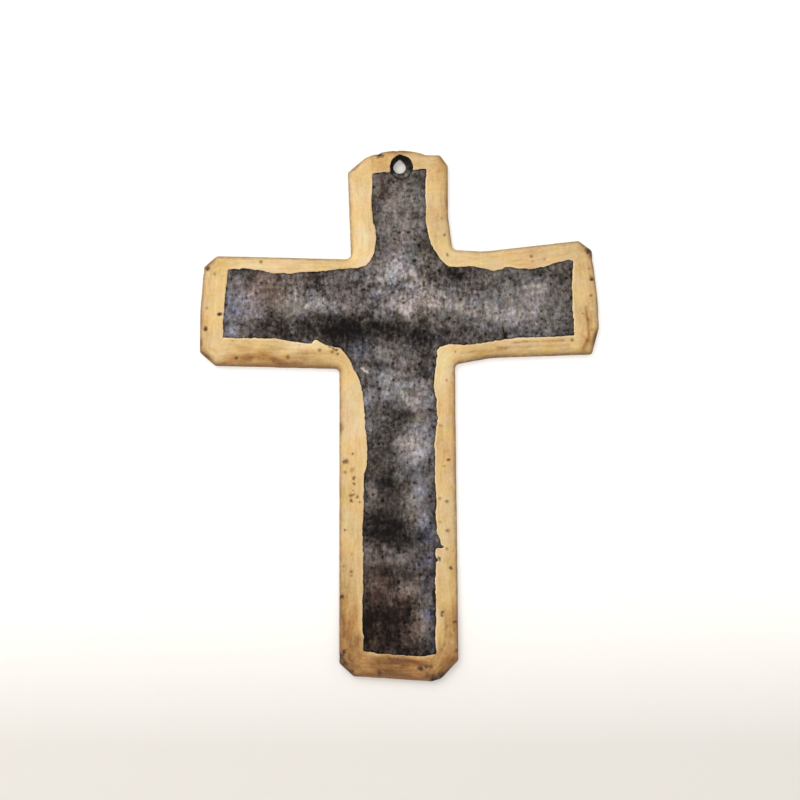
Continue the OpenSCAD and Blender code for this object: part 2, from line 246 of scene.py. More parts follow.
# Long brush marks in the gold: both ends, width, how much darker
GOLD_STREAKS = [
    (26, -41, 37, -40.5, .24, .72), (22, -42.2, 38, -41.7, .25, .4), (14, -43.4, 24, -42.5, .25, .3),
    (30, -42.4, 40, -41.9, .3, -.16), (42.2, -33, 42.8, -39.6, .3, .75),
    (42.8, -39.6, 41.4, -42.4, .35, .6), (40.8, -39, 42.6, -40.6, .3, .3), (43.4, -34, 43.2, -38, .3, .2),
    (-6.1, -1, -6.3, 2.4, .2, .26), (-26.4, -43.2, -18.8, -40.4, .5, -.26),
    (-23, -43.8, -14.8, -43.2, .35, .3), (-27, -42.2, -21, -42.8, .25, .2), (9.6, -99, 10.3, -104, .2, .3),
    (10.3, -104, 9.8, -108, .2, .3), (9.8, -108, 8.8, -109.6, .2, .2), (11.6, -98, 11.9, -105, .22, .25),
    (-12.6, -98.5, -12, -106, .5, .22), (-10.6, -92, -10.2, -108, .3, -.12), (-9.3, -7, -9, -19, .25, -.2),
    (-10.4, -10, -10.2, -16, .2, .16), (-8, -14, -7.8, -20, .3, -.2), (10, -50, 10.2, -66, .25, -.16),
    (-43.4, -26, -43.8, -38, .25, .12), (-41.6, -26, -41.8, -39, .3, -.1), (-38, -22.4, -18, -22.8, .3, .1),
    (16, -21.6, 36, -19.4, .3, .1), (-37, -42.2, -30, -42.6, .25, .12),
]
# Places where the gold has gone brown or, below nought, stayed bright
GOLD_PATCHES = [
    (0, -112.6, 12.6, 5.2, .57), (2, -111.4, 5.6, .9, .26), (-8, -107.8, 1, 2, .24),
    (8.2, -115, 3, 1.2, .2), (-11.4, -103, 3, 9, .42), (11, -104, 3.4, 8, .14), (11.6, -74, 2.4, 30, .03),
    (-11, -58, 3.6, 12, -.14), (-11.5, -88, 3, 8, -.02), (-25, -43.6, 10, 1.8, .2),
    (-17.6, -44.4, 5, 1.6, .03), (-9, -17, 3, 8, -.16), (9, .4, 2.4, 2.6, .12), (30, -20.4, 14, 2, .02),
    (36, -42, 10, 2.4, -.02), (42, -38, 3, 6, .02), (42.6, -41.4, 1.8, 1.6, .26), (22, -43.4, 10, 1.6, .02),
    (-31, -45.2, 10, 1, .4), (-4, .4, 2.4, 2.6, .34), (1, 3.6, 4, 1, .3), (-42.4, -32, 3, 12, -.04),
    (10, -8, 2.6, 14, .06), (-28, -22.6, 14, 2, -.02), (-42, -22.4, 4, 2.6, .14), (10, -46, 2.6, 5, -.2),
    (-20, -41.6, 4, 1.4, -.3), (14, -21.5, 6, 2.6, -.12),
]


# ---------------------------------------------------------------- plane geometry

def soft_noise(x, z, size, seed):
    """Smooth noise from 0 to 1, the same for the same seed, in bumps about `size` across."""
    table = np.random.RandomState(seed).rand(256, 256)
    u, v = np.asarray(x) / size, np.asarray(z) / size
    i, j = np.floor(u).astype(int), np.floor(v).astype(int)
    a, b = u - i, v - j
    a, b = a * a * (3 - 2 * a), b * b * (3 - 2 * b)
    i0, i1, j0, j1 = i % 256, (i + 1) % 256, j % 256, (j + 1) % 256
    low = table[i0, j0] * (1 - a) + table[i1, j0] * a
    high = table[i0, j1] * (1 - a) + table[i1, j1] * a
    return low * (1 - b) + high * b


def layered(x, z, size, seed, layers=3):
    """Noise from 0 to 1 with ever finer bumps on top."""
    total, weight, scale = 0, 0, 1.0
    for k in range(layers):
        total = total + scale * soft_noise(x, z, size / 2 ** k, seed + k)
        weight += scale
        scale *= 0.55
    return total / weight


def patches(x, z, places):
    """The sum of soft oval patches, with ragged edges."""
    total = np.zeros(len(x))
    wander_x = (layered(x, z, 5, 71) - 0.5) * 3.0
    wander_z = (layered(x, z, 5, 75) - 0.5) * 3.0
    for px, pz, wide, high, strength in places:
        r2 = ((x + wander_x - px) / wide) ** 2 + ((z + wander_z - pz) / high) ** 2
        total += strength * np.exp(-0.9 * r2)
    return total


def evened(loop, step):
    """A closed line with its points spread evenly, about `step` apart."""
    ring = np.vstack([loop, loop[:1]])
    run = np.concatenate([[0], np.cumsum(np.hypot(*np.diff(ring, axis=0).T))])
    count = int(round(run[-1] / step))
    at = np.linspace(0, run[-1], count, endpoint=False)
    return np.column_stack([np.interp(at, run, ring[:, k]) for k in (0, 1)])


def rounded(loop, reach):
    """A closed, even line with its corners softened over `reach` points to each side."""
    furthest = math.ceil(3 * reach)
    offsets = range(-furthest, furthest + 1)
    weights = np.exp(-0.5 * (np.array(offsets) / reach) ** 2)
    return sum(w * np.roll(loop, -k, axis=0) for k, w in zip(offsets, weights)) / weights.sum()


def outward(loop):
    """Unit directions out of a counter-clockwise line."""
    along = np.roll(loop, -1, axis=0) - np.roll(loop, 1, axis=0)
    along /= np.hypot(*along.T)[:, None]
    return np.column_stack([along[:, 1], -along[:, 0]])


def anticlockwise(loop):
    """The same closed line, turned round where it ran clockwise."""
    x, z = loop.T
    turn = np.sum(x * np.roll(z, -1) - np.roll(x, -1) * z)
    return loop if turn > 0 else loop[::-1]


def inside(points, loop):
    """Which points lie inside a closed line."""
    found = np.zeros(len(points), bool)
    x, z = points.T
    for (x0, z0), (x1, z1) in zip(loop, np.roll(loop, -1, axis=0)):
        if z0 == z1:
            continue
        near = (z0 > z) != (z1 > z)
        found[near] ^= x[near] < x0 + (x1 - x0) * (z[near] - z0) / (z1 - z0)
    return found


def nearest(points, loop):
    """How far each point is from a closed line, and how far along the line the nearest place is."""
    finer = 4
    ring = np.vstack([loop, loop[:1]])
    steps = np.arange(len(loop) * finer) / finer
    dense = np.column_stack([np.interp(steps, np.arange(len(ring)), ring[:, k]) for k in (0, 1)])
    tree = KDTree(len(dense))
    for k, (x, z) in enumerate(dense):
        tree.insert((x, z, 0), k)
    tree.balance()
    found = [tree.find((x, z, 0)) for x, z in points]
    run = np.cumsum(np.hypot(*np.diff(np.vstack([dense[:1], dense]), axis=0).T))
    return np.array([f[2] for f in found]), run[[f[1] for f in found]]


def from_segment(x, z, x0, z0, x1, z1):
    """Distance from points to a straight scratch."""
    dx, dz = x1 - x0, z1 - z0
    t = np.clip(((x - x0) * dx + (z - z0) * dz) / (dx * dx + dz * dz), 0, 1)
    return np.hypot(x - x0 - t * dx, z - z0 - t * dz)


def honeycomb(low, high, step, seed):
    """Points spread over a rectangle, each a little off its place so that no pattern shows."""
    draw = np.random.RandomState(seed)
    rows = []
    for k, z in enumerate(np.arange(low[1], high[1], step * 0.866)):
        x = np.arange(low[0] + (k % 2) * step / 2, high[0], step)
        rows.append(np.column_stack([x, np.full(len(x), z)]))
    points = np.vstack(rows)
    return points + draw.uniform(-0.22, 0.22, points.shape) * step


def thinned(points, apart):
    """The points that come first in their square of side `apart`, so that none crowd each other."""
    taken, kept = set(), []
    for k, (x, z) in enumerate(points):
        cell = (int(math.floor(x / apart)), int(math.floor(z / apart)))
        if cell not in taken:
            taken.add(cell)
            kept.append(k)
    return points[kept]


def filled(loops, dots, keep):
    """Flat triangles over the places that `keep` marks. The loops' points come first, in their order."""
    points = np.vstack(loops + [dots])
    edges, first = [], 0
    for loop in loops:
        n = len(loop)
        edges += [(first + k, first + (k + 1) % n) for k in range(n)]
        first += n
    verts, _, faces, *_ = delaunay_2d_cdt([Vector(p) for p in points], edges, [], 0, 1e-6)
    verts = np.array([v[:] for v in verts])
    faces = np.array([f for f in faces if len(f) == 3])
    if len(verts) != len(points):
        raise RuntimeError("two points of the sheet coincide")
    faces = faces[keep(verts[faces].mean(axis=1))]
    used = np.zeros(len(verts), bool)
    used[faces] = True
    used[:first] = True
    number = np.cumsum(used) - 1
    return verts[used], number[faces]


def open_edges(faces):
    """The edges with a face on one side only, each in its face's direction."""
    sides = np.vstack([faces[:, [0, 1]], faces[:, [1, 2]], faces[:, [2, 0]]])
    key = sides[:, 0].astype(np.int64) * (faces.max() + 1) + sides[:, 1]
    back = sides[:, 1].astype(np.int64) * (faces.max() + 1) + sides[:, 0]
    return sides[~np.isin(key, back)]


# ---------------------------------------------------------------- the outline, the hole and the painted edge

def solid_outline(node):
    """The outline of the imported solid's flat front, counter-clockwise, in millimetres."""
    shell = bmesh.new()
    shell.from_mesh(node.data)
    bmesh.ops.remove_doubles(shell, verts=shell.verts, dist=1e-6)
    shell.normal_update()
    front = min(v.co.y for v in shell.verts)
    flat = {f for f in shell.faces if f.normal.y < -0.99 and max(v.co.y for v in f.verts) < front + 1e-5}
    after = {}
    for face in flat:
        for corner in face.loops:
            if sum(f in flat for f in corner.edge.link_faces) == 1:
                after.setdefault(corner.vert, []).append(corner.link_loop_next.vert)
    loops = []
    while after:
        start = next(iter(after))
        line, here = [], start
        while here in after:
            line.append((here.co.x / MM, here.co.z / MM))
            following = after[here].pop()
            if not after[here]:
                del after[here]
            here = following
        loops.append(np.array(line))
    shell.free()
    widest = max(loops, key=lambda line: np.ptp(line[:, 0]) * np.ptp(line[:, 1]))
    line = anticlockwise(widest)
    top = np.argmax(line[:, 1] - 0.01 * np.abs(line[:, 0]))
    return np.roll(line, -top, axis=0)


def cut_outline():
    """The outline as the shears and the file left it: never outside the solid, and a little uneven."""
    line = evened(solid_outline(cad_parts["cross"]), RIM_STEP)
    x, z = line.T
    bite = EDGE_ROOM + 0.06 * layered(x, z, 7, 11) ** 2 + 0.07 * layered(x, z, 1.8, 15) ** 2
    for px, pz, reach, deep in NICKS:
        bite += deep * np.exp(-((x - px) ** 2 + (z - pz) ** 2) / reach ** 2)
    return rounded(line - outward(line) * bite[:, None], 0.6)


def hole_outline():
    """The punched hole, worn to a point where it hangs from its nail, counter-clockwise."""
    angle = np.linspace(0, 2 * math.pi, HOLE_COUNT, endpoint=False)
    off_top = np.abs((angle - math.pi / 2 + math.pi) % (2 * math.pi) - math.pi)
    uneven = 0.03 * (soft_noise(angle * 3, angle * 0, 1, 21) - 0.5)
    radius = HOLE_RADIUS + uneven + HOLE_PEAK * np.exp(-(off_top / 0.44) ** 1.3)
    return np.column_stack([radius * np.cos(angle), radius * np.sin(angle)])


def painted_edge():
    """The inner edge of the gold border: brush strokes along each limb, and a gap left round the dish."""
    turn = np.radians(np.arange(204, -16, -8))
    round_hole = np.column_stack([DISH_CENTRE[0] + (DISH_RADII[0] + 0.12) * np.cos(turn),
                                  DISH_CENTRE[1] + (DISH_RADII[1] + 0.1) * np.sin(turn)])
    strokes = [
        round_hole, HEAD_TOP_RIGHT, HEAD_RIGHT, RIGHT_ARM_TOP, RIGHT_ARM_END, RIGHT_ARM_BOTTOM, LEG_RIGHT,
        LEG_BOTTOM, LEG_LEFT, LEFT_ARM_BOTTOM, LEFT_ARM_END, LEFT_ARM_TOP, HEAD_LEFT, HEAD_TOP_LEFT,
    ]
    line = rounded(evened(anticlockwise(np.vstack(strokes)), 0.2), 1.1)
    x, z = line.T
    calm = np.clip(np.hypot(x - DRIP[0], z - DRIP[1]) / 3 - 0.2, 0, 1)
    teeth = 0.7 * (layered(x, z, 0.7, 35) - 0.5) * layered(x, z, 6, 37)
    wobble = (0.34 * (layered(x, z, 2.4, 31) - 0.5) + teeth) * calm
    return line + outward(line) * wobble[:, None]


rim = cut_outline()
hole = hole_outline()
painted = painted_edge()


# ---------------------------------------------------------------- heights

def dish_reach(x, z):
    """How far out in the dish a point lies: 0 at its middle and 1 at its edge."""
    return np.hypot((x - DISH_CENTRE[0]) / DISH_RADII[0], (z - DISH_CENTRE[1]) / DISH_RADII[1])


def corner_drop(d, width, drop):
    """How far a rounded corner lies below the flat, `d` in from the edge."""
    t = np.clip(1 - d / width, 0, 1)
    return drop * (1 - np.sqrt(1 - t * t))


def front_height(x, z, d):
    """y of the iron's front, `d` in from the cut edge."""
    sink = IRON_SINK + ROLL_DROP * np.clip(1 - d / ROLL_WIDTH, 0, 1) ** 2.2
    sink = sink + corner_drop(d, CORNER_WIDTH, CORNER_DROP)
    sink = sink + 0.1 * layered(x, z, 9, 41) + 0.03 * layered(x, z, 1.6, 45)
    reach = dish_reach(x, z)
    sink = sink + DISH_DEPTH * np.clip(1 - reach ** 2, 0, 1) ** 0.9
    sink = sink - 0.05 * np.exp(-((reach - 1.06) / 0.06) ** 2)
    return -THICK + np.clip(sink, 0.02, None)


def back_height(x, z, d):
    """y of the plain back, with the low burr that the punch raised round the hole."""
    sink = BACK_SINK + corner_drop(d, BACK_CORNER_WIDTH, BACK_CORNER_DROP)
    sink = sink + 0.07 * layered(x, z, 8, 51) + 0.03 * layered(x, z, 1.5, 55)
    out = np.hypot(x, z) - HOLE_RADIUS
    burr = np.exp(-((out - 0.3) / 0.28) ** 2)
    return -np.clip(sink * (1 - burr) - 0.012 * burr * layered(x, z, 0.7, 57), 0, None)


def worn_edge(x, z):
    """How worn the cut edge is near each point, from 0 to 1."""
    worn = np.zeros(len(x))
    for px, pz, reach, strength in EDGE_WEAR:
        worn = np.maximum(worn, strength * np.exp(-(np.hypot(x - px, z - pz) / reach) ** 4))
    return worn


def chipped(x, z):
    """How far the gold is gone, from 0 to 1, at the chips and specks."""
    gone = np.zeros(len(x))
    ragged = 0.1 + 1.9 * layered(x, z, 0.45, 61)
    for px, pz, radius, strength in GOLD_CHIPS:
        near = np.hypot(x - px, z - pz)
        close = near < 3 * radius
        bare = strength * np.clip(1.7 - near[close] / (radius * ragged[close]), 0, 1)
        gone[close] = np.maximum(gone[close], bare)
    return gone


# ---------------------------------------------------------------- meshes

def put(name, data):
    """A new object in the scene, at the origin."""
    obj = bpy.data.objects.new(name, data)
    bpy.context.scene.collection.objects.link(obj)
    return obj


def make_mesh(name, verts, faces, values):
    """A mesh object from points in millimetres, with its point values as attributes."""
    mesh = bpy.data.meshes.new(name)
    mesh.from_pydata((verts * MM).tolist(), [], faces)
    mesh.validate()
    for label, data in values.items():
        kind, key = ("FLOAT", "value") if data.ndim == 1 else ("FLOAT_VECTOR", "vector")
        mesh.attributes.new(label, kind, "POINT").data.foreach_set(key, data.astype(np.float32).ravel())
    mesh.polygons.foreach_set("use_smooth", [True] * len(mesh.polygons))
    return put(name, mesh)


def raised(flat, y):
    """Points of the sheet's plane moved to their own y."""
    return np.column_stack([flat[:, 0], y, flat[:, 1]])


def bridged(rows, flip=False):
    """Quads between each row of point numbers and the next, round a closed line."""
    faces = []
    for upper, lower in zip(rows, rows[1:]):
        for quad in zip(upper, lower, np.roll(lower, -1), np.roll(upper, -1)):
            faces.append([int(k) for k in (quad[::-1] if flip else quad)])
    return faces


def on_sheet(points):
    """Which points lie on the iron, and not in its hole."""
    return inside(points, rim) & ~inside(points, hole)


def on_border(points):
    """Which points lie on the gold border."""
    return inside(points, rim) & ~inside(points, painted)


def free_dots(step, seed, clear):
    """Loose points over the whole cross, clear of the lines given as (line, distance)."""
    dots = honeycomb(rim.min(0), rim.max(0), step, seed)
    dots = dots[inside(dots, rim)]
    for line, distance in clear:
        dots = dots[nearest(dots, line)[0] > distance]
    return dots


def round_rows(line, offsets, side=-1):
    """Copies of a line moved in (-1) or out (+1) by each offset."""
    return [line + side * o * outward(line) for o in offsets]


def front_tone(x, z, in_field):
    """How bright the iron's front is: worn places with painted reflections, a painted shade line beside the
    paint, scratches, and the dish with painted light and shade.
    """
    # Worn places, and painted reflections of the light
    tone = 0.42 + patches(x, z, IRON_WEAR_AND_REFLECTIONS) + 0.1 * (layered(x, z, 3.4, 81) - 0.5) * 2
    margin = nearest(np.column_stack([x, z]), painted)[0]
    # Painted shade: a dark line on the iron at the foot of the paint's edge
    tone -= 0.2 * np.exp(-(margin / 0.28) ** 2) + 0.05 * np.exp(-margin / 1.2)
    tone = np.where(in_field, tone, 0.26)
    for x0, z0, x1, z1, width, strength in IRON_SCRATCHES:
        tone += strength * np.exp(-(from_segment(x, z, x0, z0, x1, z1) / width) ** 2)
    # The dish is bare iron with painted light and shade: darkest at its top, lighter at its bottom where its
    # slope faces the light, and a dark ring inside its edge
    reach = dish_reach(x, z)
    ring = np.clip((1.12 - reach) / 0.1, 0, 1)
    lit = 0.2 - 0.42 * np.clip((z + 1) / 1.8, -0.7, 1) + 0.1 * np.clip(x / 2, 0, 1)
    crescent = -(0.47 + 0.08 * np.clip(z, -1, 1)) * np.exp(-((reach - 0.95) / 0.12) ** 2)
    return tone * (1 - ring) + ring * (lit + crescent)


def iron_values(x, z, facing_back):
    """Tone, tints, grain and rust of the iron at each point. The front's tone holds painted reflections,
    light and shade.
    """
    flat = np.column_stack([x, z])
    in_field = inside(flat, painted)
    back_tone = 0.3 + 0.3 * (layered(x, z, 9, 83) - 0.4)
    tone = np.where(facing_back, back_tone, front_tone(x, z, in_field))
    blue = np.clip(patches(x, z, BLUE_PATCHES), 0, 1)
    brown = np.where(in_field, np.clip(patches(x, z, BROWN_PATCHES), 0, 1), 1)
    rusty = np.clip(layered(x, z, 6, 85) * 1.6 - 0.55, 0, 1)
    run_below_hole = np.exp(-(x / 2.2) ** 2) * np.clip(1 + (z + 2) / 30, 0, 1) * (z < 0)
    back_rust = 0.15 + 0.7 * rusty + 0.6 * np.exp(-nearest(flat, rim)[0] / 1.8) + 0.5 * run_below_hole
    return {
        "mottle": np.where(facing_back, 0.7, 0.88 + patches(x, z, MOTTLE_PATCHES)),
        "tone": np.clip(tone, -0.1, 1),
        "blue": np.where(facing_back, 0, blue),
        "brown": np.where(facing_back, 0.3, brown),
        "rust": np.where(facing_back, np.clip(back_rust, 0, 1), 0.25 * rusty * (~in_field)),
    }


def scratch_points():
    """Points along each scratch and to its sides, so that it shows as a clean line."""
    dots = []
    for x0, z0, x1, z1, width, _ in IRON_SCRATCHES:
        for t in np.linspace(0, 1, int(math.hypot(x1 - x0, z1 - z0) / SCRATCH_STEP)):
            for side in (-width, 0, width):
                dots.append((x0 + t * (x1 - x0) + side, z0 + t * (z1 - z0) + side * 0.4))
    return np.array(dots)


def sheet_front():
    """Flat triangles for the front, with rows of points round the dish and along the edges and scratches."""
    dish_edge = np.array(DISH_CENTRE) + hole / np.hypot(*hole.T)[:, None] * np.array(DISH_RADII)
    dish_rows = [(1 - t) * hole + t * dish_edge for t in DISH_ROWS]
    scratches = scratch_points()
    painted_rows = [painted + outward(painted) * o for o in PAINT_LINE_ROWS]
    painted_rows = [row[dish_reach(*row.T) > PAINT_LINE_FROM] for row in painted_rows]
    loose = free_dots(FRONT_STEP, 3, [(rim, FRONT_RIM_CLEAR)])
    loose = loose[dish_reach(*loose.T) > LOOSE_FROM]
    loose = loose[nearest(loose, scratches)[0] > SCRATCH_CLEAR]
    dots = round_rows(rim, FRONT_RIM_ROWS) + dish_rows + [scratches] + painted_rows + [loose]
    return filled([rim, hole], thinned(np.vstack(dots), CROWDED), on_sheet)


def sheet_back():
    """Flat triangles for the plain back, wider apart than those of the front."""
    rows = round_rows(rim, BACK_RIM_ROWS) + round_rows(hole, BACK_HOLE_ROWS, 1)
    loose = free_dots(BACK_STEP, 5, [(rim, BACK_RIM_CLEAR), (hole, BACK_HOLE_CLEAR)])
    return filled([rim, hole], thinned(np.vstack(rows + [loose]), CROWDED), on_sheet)


def cut_iron_sheet():
    """The iron itself: front, back, cut edge and hole in one closed shell."""
    front, front_faces = sheet_front()
    back, back_faces = sheet_back()
    front_y = front_height(*front.T, nearest(front, rim)[0])
    back_y = back_height(*back.T, nearest(back, rim)[0])
    verts = [raised(front, front_y), raised(back, back_y)]
    faces = front_faces.tolist() + (back_faces[:, ::-1] + len(front)).tolist()
    facing_back = [np.zeros(len(front), bool), np.ones(len(back), bool)]

    # The walls of the cut edge and of the hole, roughened into the metal. The hole's also bows a little.
    start = len(front) + len(back)
    for line, first, into_metal, bow in ((rim, 0, -1, 0), (hole, len(rim), 1, 0.04)):
        count = len(line)
        upper, lower = front_y[first:first + count], back_y[first:first + count]
        ids = [np.arange(first, first + count)]
        for t in WALL_ROWS:
            rough = 0.05 * soft_noise(line[:, 0] + 40 * t, line[:, 1], 0.7, 65) + bow * math.sin(math.pi * t)
            ring = line + into_metal * outward(line) * rough[:, None]
            verts.append(raised(ring, upper + (lower - upper) * t))
            facing_back.append(np.full(count, t > 0.7))
            ids.append(np.arange(start, start + count))
            start += count
        ids.append(len(front) + ids[0])
        faces += bridged(ids, flip=into_metal > 0)
    verts = np.vstack(verts)
    values = iron_values(verts[:, 0], verts[:, 2], np.concatenate(facing_back))
    return make_mesh("iron_sheet", verts, faces, values)


def film_thickness(x, z, d, inner, run):
    """Paint is thin over the cut edge, thick where the brush stopped, and gone at the chips."""
    streaks = soft_noise(run * 0.16, d, 0.28, 91) + 0.6 * soft_noise(run * 0.3, d, 0.6, 92)
    thick = FILM * (0.55 + 0.5 * streaks) + 0.035 * np.exp(-((inner - 0.3) / 0.2) ** 2)
    thick *= np.clip(inner / 0.16, 0.15, 1) * np.clip(0.35 + d / 0.5, 0, 1)
    gone = chipped(x, z)
    return thick * (1 - 0.8 * gone) - 0.012 * np.clip(gone * 2.5 - 1.5, 0, 1)


def gold_values(x, z, d, inner, run, facing):
    """Age, dirt, painted shade, chips and brush direction of the paint at each point, `d` in from the cut
    edge and
    `run` along it, and `inner` out from the painted edge. `facing` is the way that edge faces there."""
    # Painted shade: edges that face right or down, away from the light, are made darker below
    under = np.clip(0.25 * facing[:, 0] - 0.95 * facing[:, 1], 0, 1)
    aged_and_shaded = 0.3 + patches(x, z, GOLD_PATCHES) + 0.24 * (layered(x, z, 6, 95) - 0.5)
    broken = 0.2 + 1.1 * layered(x, z, 0.9, 107)
    for x0, z0, x1, z1, width, strength in GOLD_STREAKS:
        mark = np.exp(-(from_segment(x, z, x0, z0, x1, z1) / (1.25 * width)) ** 2)
        aged_and_shaded += 0.7 * strength * broken * mark
    mottling = soft_noise(run * 0.4, d, 0.7, 105) + soft_noise(run * 0.25, d, 1.5, 106) - 1
    aged_and_shaded += mottling * (0.06 + 0.26 * np.clip(aged_and_shaded - 0.4, 0, 1))
    lip = np.exp(-(inner / 0.4) ** 2) * np.clip(2.2 * layered(x, z, 3, 109) - 0.6, 0, 1)
    lip = lip * (dish_reach(x, z) > BEAD_FROM)
    # Browner towards the cut edge, much more so on its right and lower sides: painted shade of the rolled
    # edge. Paler at the lip
    aged_and_shaded += (0.08 + 0.26 * under) * np.exp(-(d / 1.3) ** 1.5) - 0.1 * lip
    worn = worn_edge(x, z)
    # Dirt along the cut edge, with painted shade added on its right and lower sides
    dirt_and_shade = 0.62 + 0.25 * under + 0.35 * layered(x, z, 1.6, 97) + 0.4 * worn
    grime_and_shade = np.exp(-(d / (0.5 + 0.3 * worn)) ** 1.8) * dirt_and_shade
    bare_edge = worn * np.exp(-(d / 0.8) ** 2) * (0.7 + 0.65 * layered(x, z, 0.8, 111))
    across = d + 0.9 * layered(x, z, 5, 101) + 0.3 * layered(x, z, 1.4, 103)
    return {
        "aged_and_shaded": np.clip(aged_and_shaded, 0, 1),
        "grime_and_shade": np.clip(grime_and_shade, 0, 1),
        "chip": np.clip(np.maximum(chipped(x, z), bare_edge), 0, 1),
        "lip": lip,
        "stroke": np.column_stack([run, across, inner]),
    }


def chip_points():
    """Rings of points round each chip in the paint, so that it has a clean edge."""
    return np.array([(px + radius * share * math.cos(turn), pz + radius * share * math.sin(turn))
                     for px, pz, radius, _ in GOLD_CHIPS for share in (0.35, 0.8, 1.25)
                     for turn in np.linspace(0, 2 * math.pi, 9)[:-1]])


def border_layout():
    """Flat triangles for the border. The cut edge's points come first, then the painted edge's."""
    rows = round_rows(rim, FILM_RIM_ROWS) + round_rows(painted, FILM_INNER_ROWS, 1)
    loose = free_dots(FILM_STEP, 7, [(rim, FILM_RIM_CLEAR), (painted, FILM_INNER_CLEAR)])
    loose = loose[~inside(loose, painted)]
    dots = thinned(np.vstack(rows + [chip_points(), loose]), FILM_CROWDED)
    for line in (rim, painted):
        dots = dots[nearest(dots, line)[0] > FILM_EDGE_CLEAR]
    return filled([rim, painted], dots[on_border(dots)], on_border)


def brush_gold_border():
    """The paint as a thin closed skin over the border, lapping round the cut edge."""
    n = len(rim)
    flat, tops = border_layout()
    x, z = flat.T
    d, run = nearest(flat, rim)
    inner = nearest(flat, painted)[0]
    d[:n] = 0
    inner[n:n + len(painted)] = 0
    iron = front_height(x, z, d)
    top = np.maximum(iron - film_thickness(x, z, d, inner, run), -THICK)
    under = np.maximum(iron + 0.03, top + 0.012)

    # Down the cut edge the paint stands proud of the iron, ends at an uneven height and turns back inside it
    out, edge_top = outward(rim), top[:n]
    reach = np.clip(0.25 + 0.9 * layered(*rim.T, 3, 99) - 0.9 * chipped(*rim.T), 0.12, 1)
    low = edge_top + (LAP_END - edge_top) * reach
    laps = [(rim + out * LAP * proud, edge_top + (low - edge_top) * t) for t, proud in LAP_ROWS]
    laps += [(rim - out * 0.09, y) for y in (low - 0.01, edge_top + 0.1)]

    verts = np.vstack([raised(points, y) for points, y in [(flat, top), (flat, under)] + laps])
    edge = np.arange(n)
    ids = [edge] + [2 * len(flat) + k * n + edge for k in range(len(laps))] + [len(flat) + edge]
    faces = tops.tolist() + (tops[:, ::-1] + len(flat)).tolist() + bridged(ids)
    for a, b in open_edges(tops).tolist():
        if a >= n:
            faces.append([a, a + len(flat), b + len(flat), b])

    def everywhere(value):
        return np.concatenate([value, value] + [value[:n]] * len(laps))

    facing = out[np.minimum((everywhere(run) / RIM_STEP).astype(int), n - 1)]
    values = gold_values(verts[:, 0], verts[:, 2], everywhere(d), everywhere(inner), everywhere(run), facing)
    return make_mesh("gold_border", verts, faces, values)


# ---------------------------------------------------------------- node helpers

def plug(tree, node, inputs):
    """Links each input that is given as a socket, and sets any other as its value."""
    for key, value in inputs.items():
        if isinstance(value, bpy.types.NodeSocket):
            tree.links.new(value, node.inputs[key])
        else:
            node.inputs[key].default_value = value


def add(tree, kind, inputs=None, **settings):
    """A node with its settings and inputs."""
    node = tree.nodes.new(kind)
    for key, value in settings.items():
        setattr(node, key, value)
    plug(tree, node, inputs or {})
    return node


def made(tree, kind, inputs=None, **settings):
    """The first output of a new node."""
    return add(tree, kind, inputs, **settings).outputs[0]


def maths(tree, operation, a, b):
    return made(tree, "ShaderNodeMath", {0: a, 1: b}, operation=operation)


def vectors(tree, operation, a, b):
    return made(tree, "ShaderNodeVectorMath", {0: a, 1: b}, operation=operation)


def total(tree, first, *others):
    """The sum of two or more values."""
    return maths(tree, "ADD", first, total(tree, *others)) if others else first


def times(tree, a, b):
    return maths(tree, "MULTIPLY", a, b)


def remap(tree, value, low, high, to_low=0.0, to_high=1.0):
    """`value` moved from its old range to a new one, and held inside it."""
    return made(tree, "ShaderNodeMapRange", {0: value, 1: low, 2: high, 3: to_low, 4: to_high})


def plain(r, g, b):
    """A colour as seen on a screen, 0 to 255, as Blender's linear colour."""
    line = [c / 255 for c in (r, g, b)]
    return [c / 12.92 if c <= 0.04045 else ((c + 0.055) / 1.055) ** 2.4 for c in line] + [1]


def blend(tree, share, a, b, how="MIX"):
    node = add(tree, "ShaderNodeMix", {0: share, 6: a, 7: b}, data_type="RGBA", blend_type=how)
    return node.outputs[2]


def tinted(tree, share, colour, tint):
    """A share of a thin film of `tint` over a colour."""
    return blend(tree, share, colour, blend(tree, 1.0, colour, plain(*tint), "MULTIPLY"))


def ramp(tree, value, stops):
    """A colour for each value, from stops of a place and a colour."""
    node = add(tree, "ShaderNodeValToRGB", {0: value})
    elements = node.color_ramp.elements
    while len(elements) < len(stops):
        elements.new(0.5)
    for element, (place, colour) in zip(elements, stops):
        element.position, element.color = place, plain(*colour)
    return node.outputs[0]


def new_tree(name, kind, inputs, outputs):
    """An empty node tree with named sockets, and its two ends."""
    tree = bpy.data.node_groups.new(name, kind)
    for label, socket_type, value in inputs:
        socket = tree.interface.new_socket(label, in_out="INPUT", socket_type="NodeSocket" + socket_type)
        if value is not None:
            socket.default_value = value
    for label, socket_type in outputs:
        tree.interface.new_socket(label, in_out="OUTPUT", socket_type="NodeSocket" + socket_type)
    return tree, tree.nodes.new("NodeGroupInput").outputs, tree.nodes.new("NodeGroupOutput")


def cloudy_noise(tree, given, vector, detail, roughness):
    """Noise from 0 to 1 in lumps of a group's own Size."""
    scale = maths(tree, "DIVIDE", 1.0, given["Size"])
    inputs = {"Vector": vector, "Scale": scale, "Detail": detail, "Roughness": roughness}
    return made(tree, "ShaderNodeTexNoise", inputs)


def grain_group():
    """Fine broken grain, drawn out along one direction."""
    inputs = [("Vector", "Vector", None), ("Stretch", "Vector", (1, 1, 1)), ("Size", "Float", 1.0),
              ("Harshness", "Float", 1.0)]
    outputs = [("Grain", "Float"), ("Height", "Float")]
    tree, given, end = new_tree("fine_grain", "ShaderNodeTree", inputs, outputs)
    drawn_out = vectors(tree, "MULTIPLY", given["Vector"], given["Stretch"])
    noise = cloudy_noise(tree, given, drawn_out, 5.0, 0.62)
    centred = maths(tree, "SUBTRACT", noise, 0.5)
    plug(tree, end, {"Grain": times(tree, centred, given["Harshness"]), "Height": noise})
    return tree


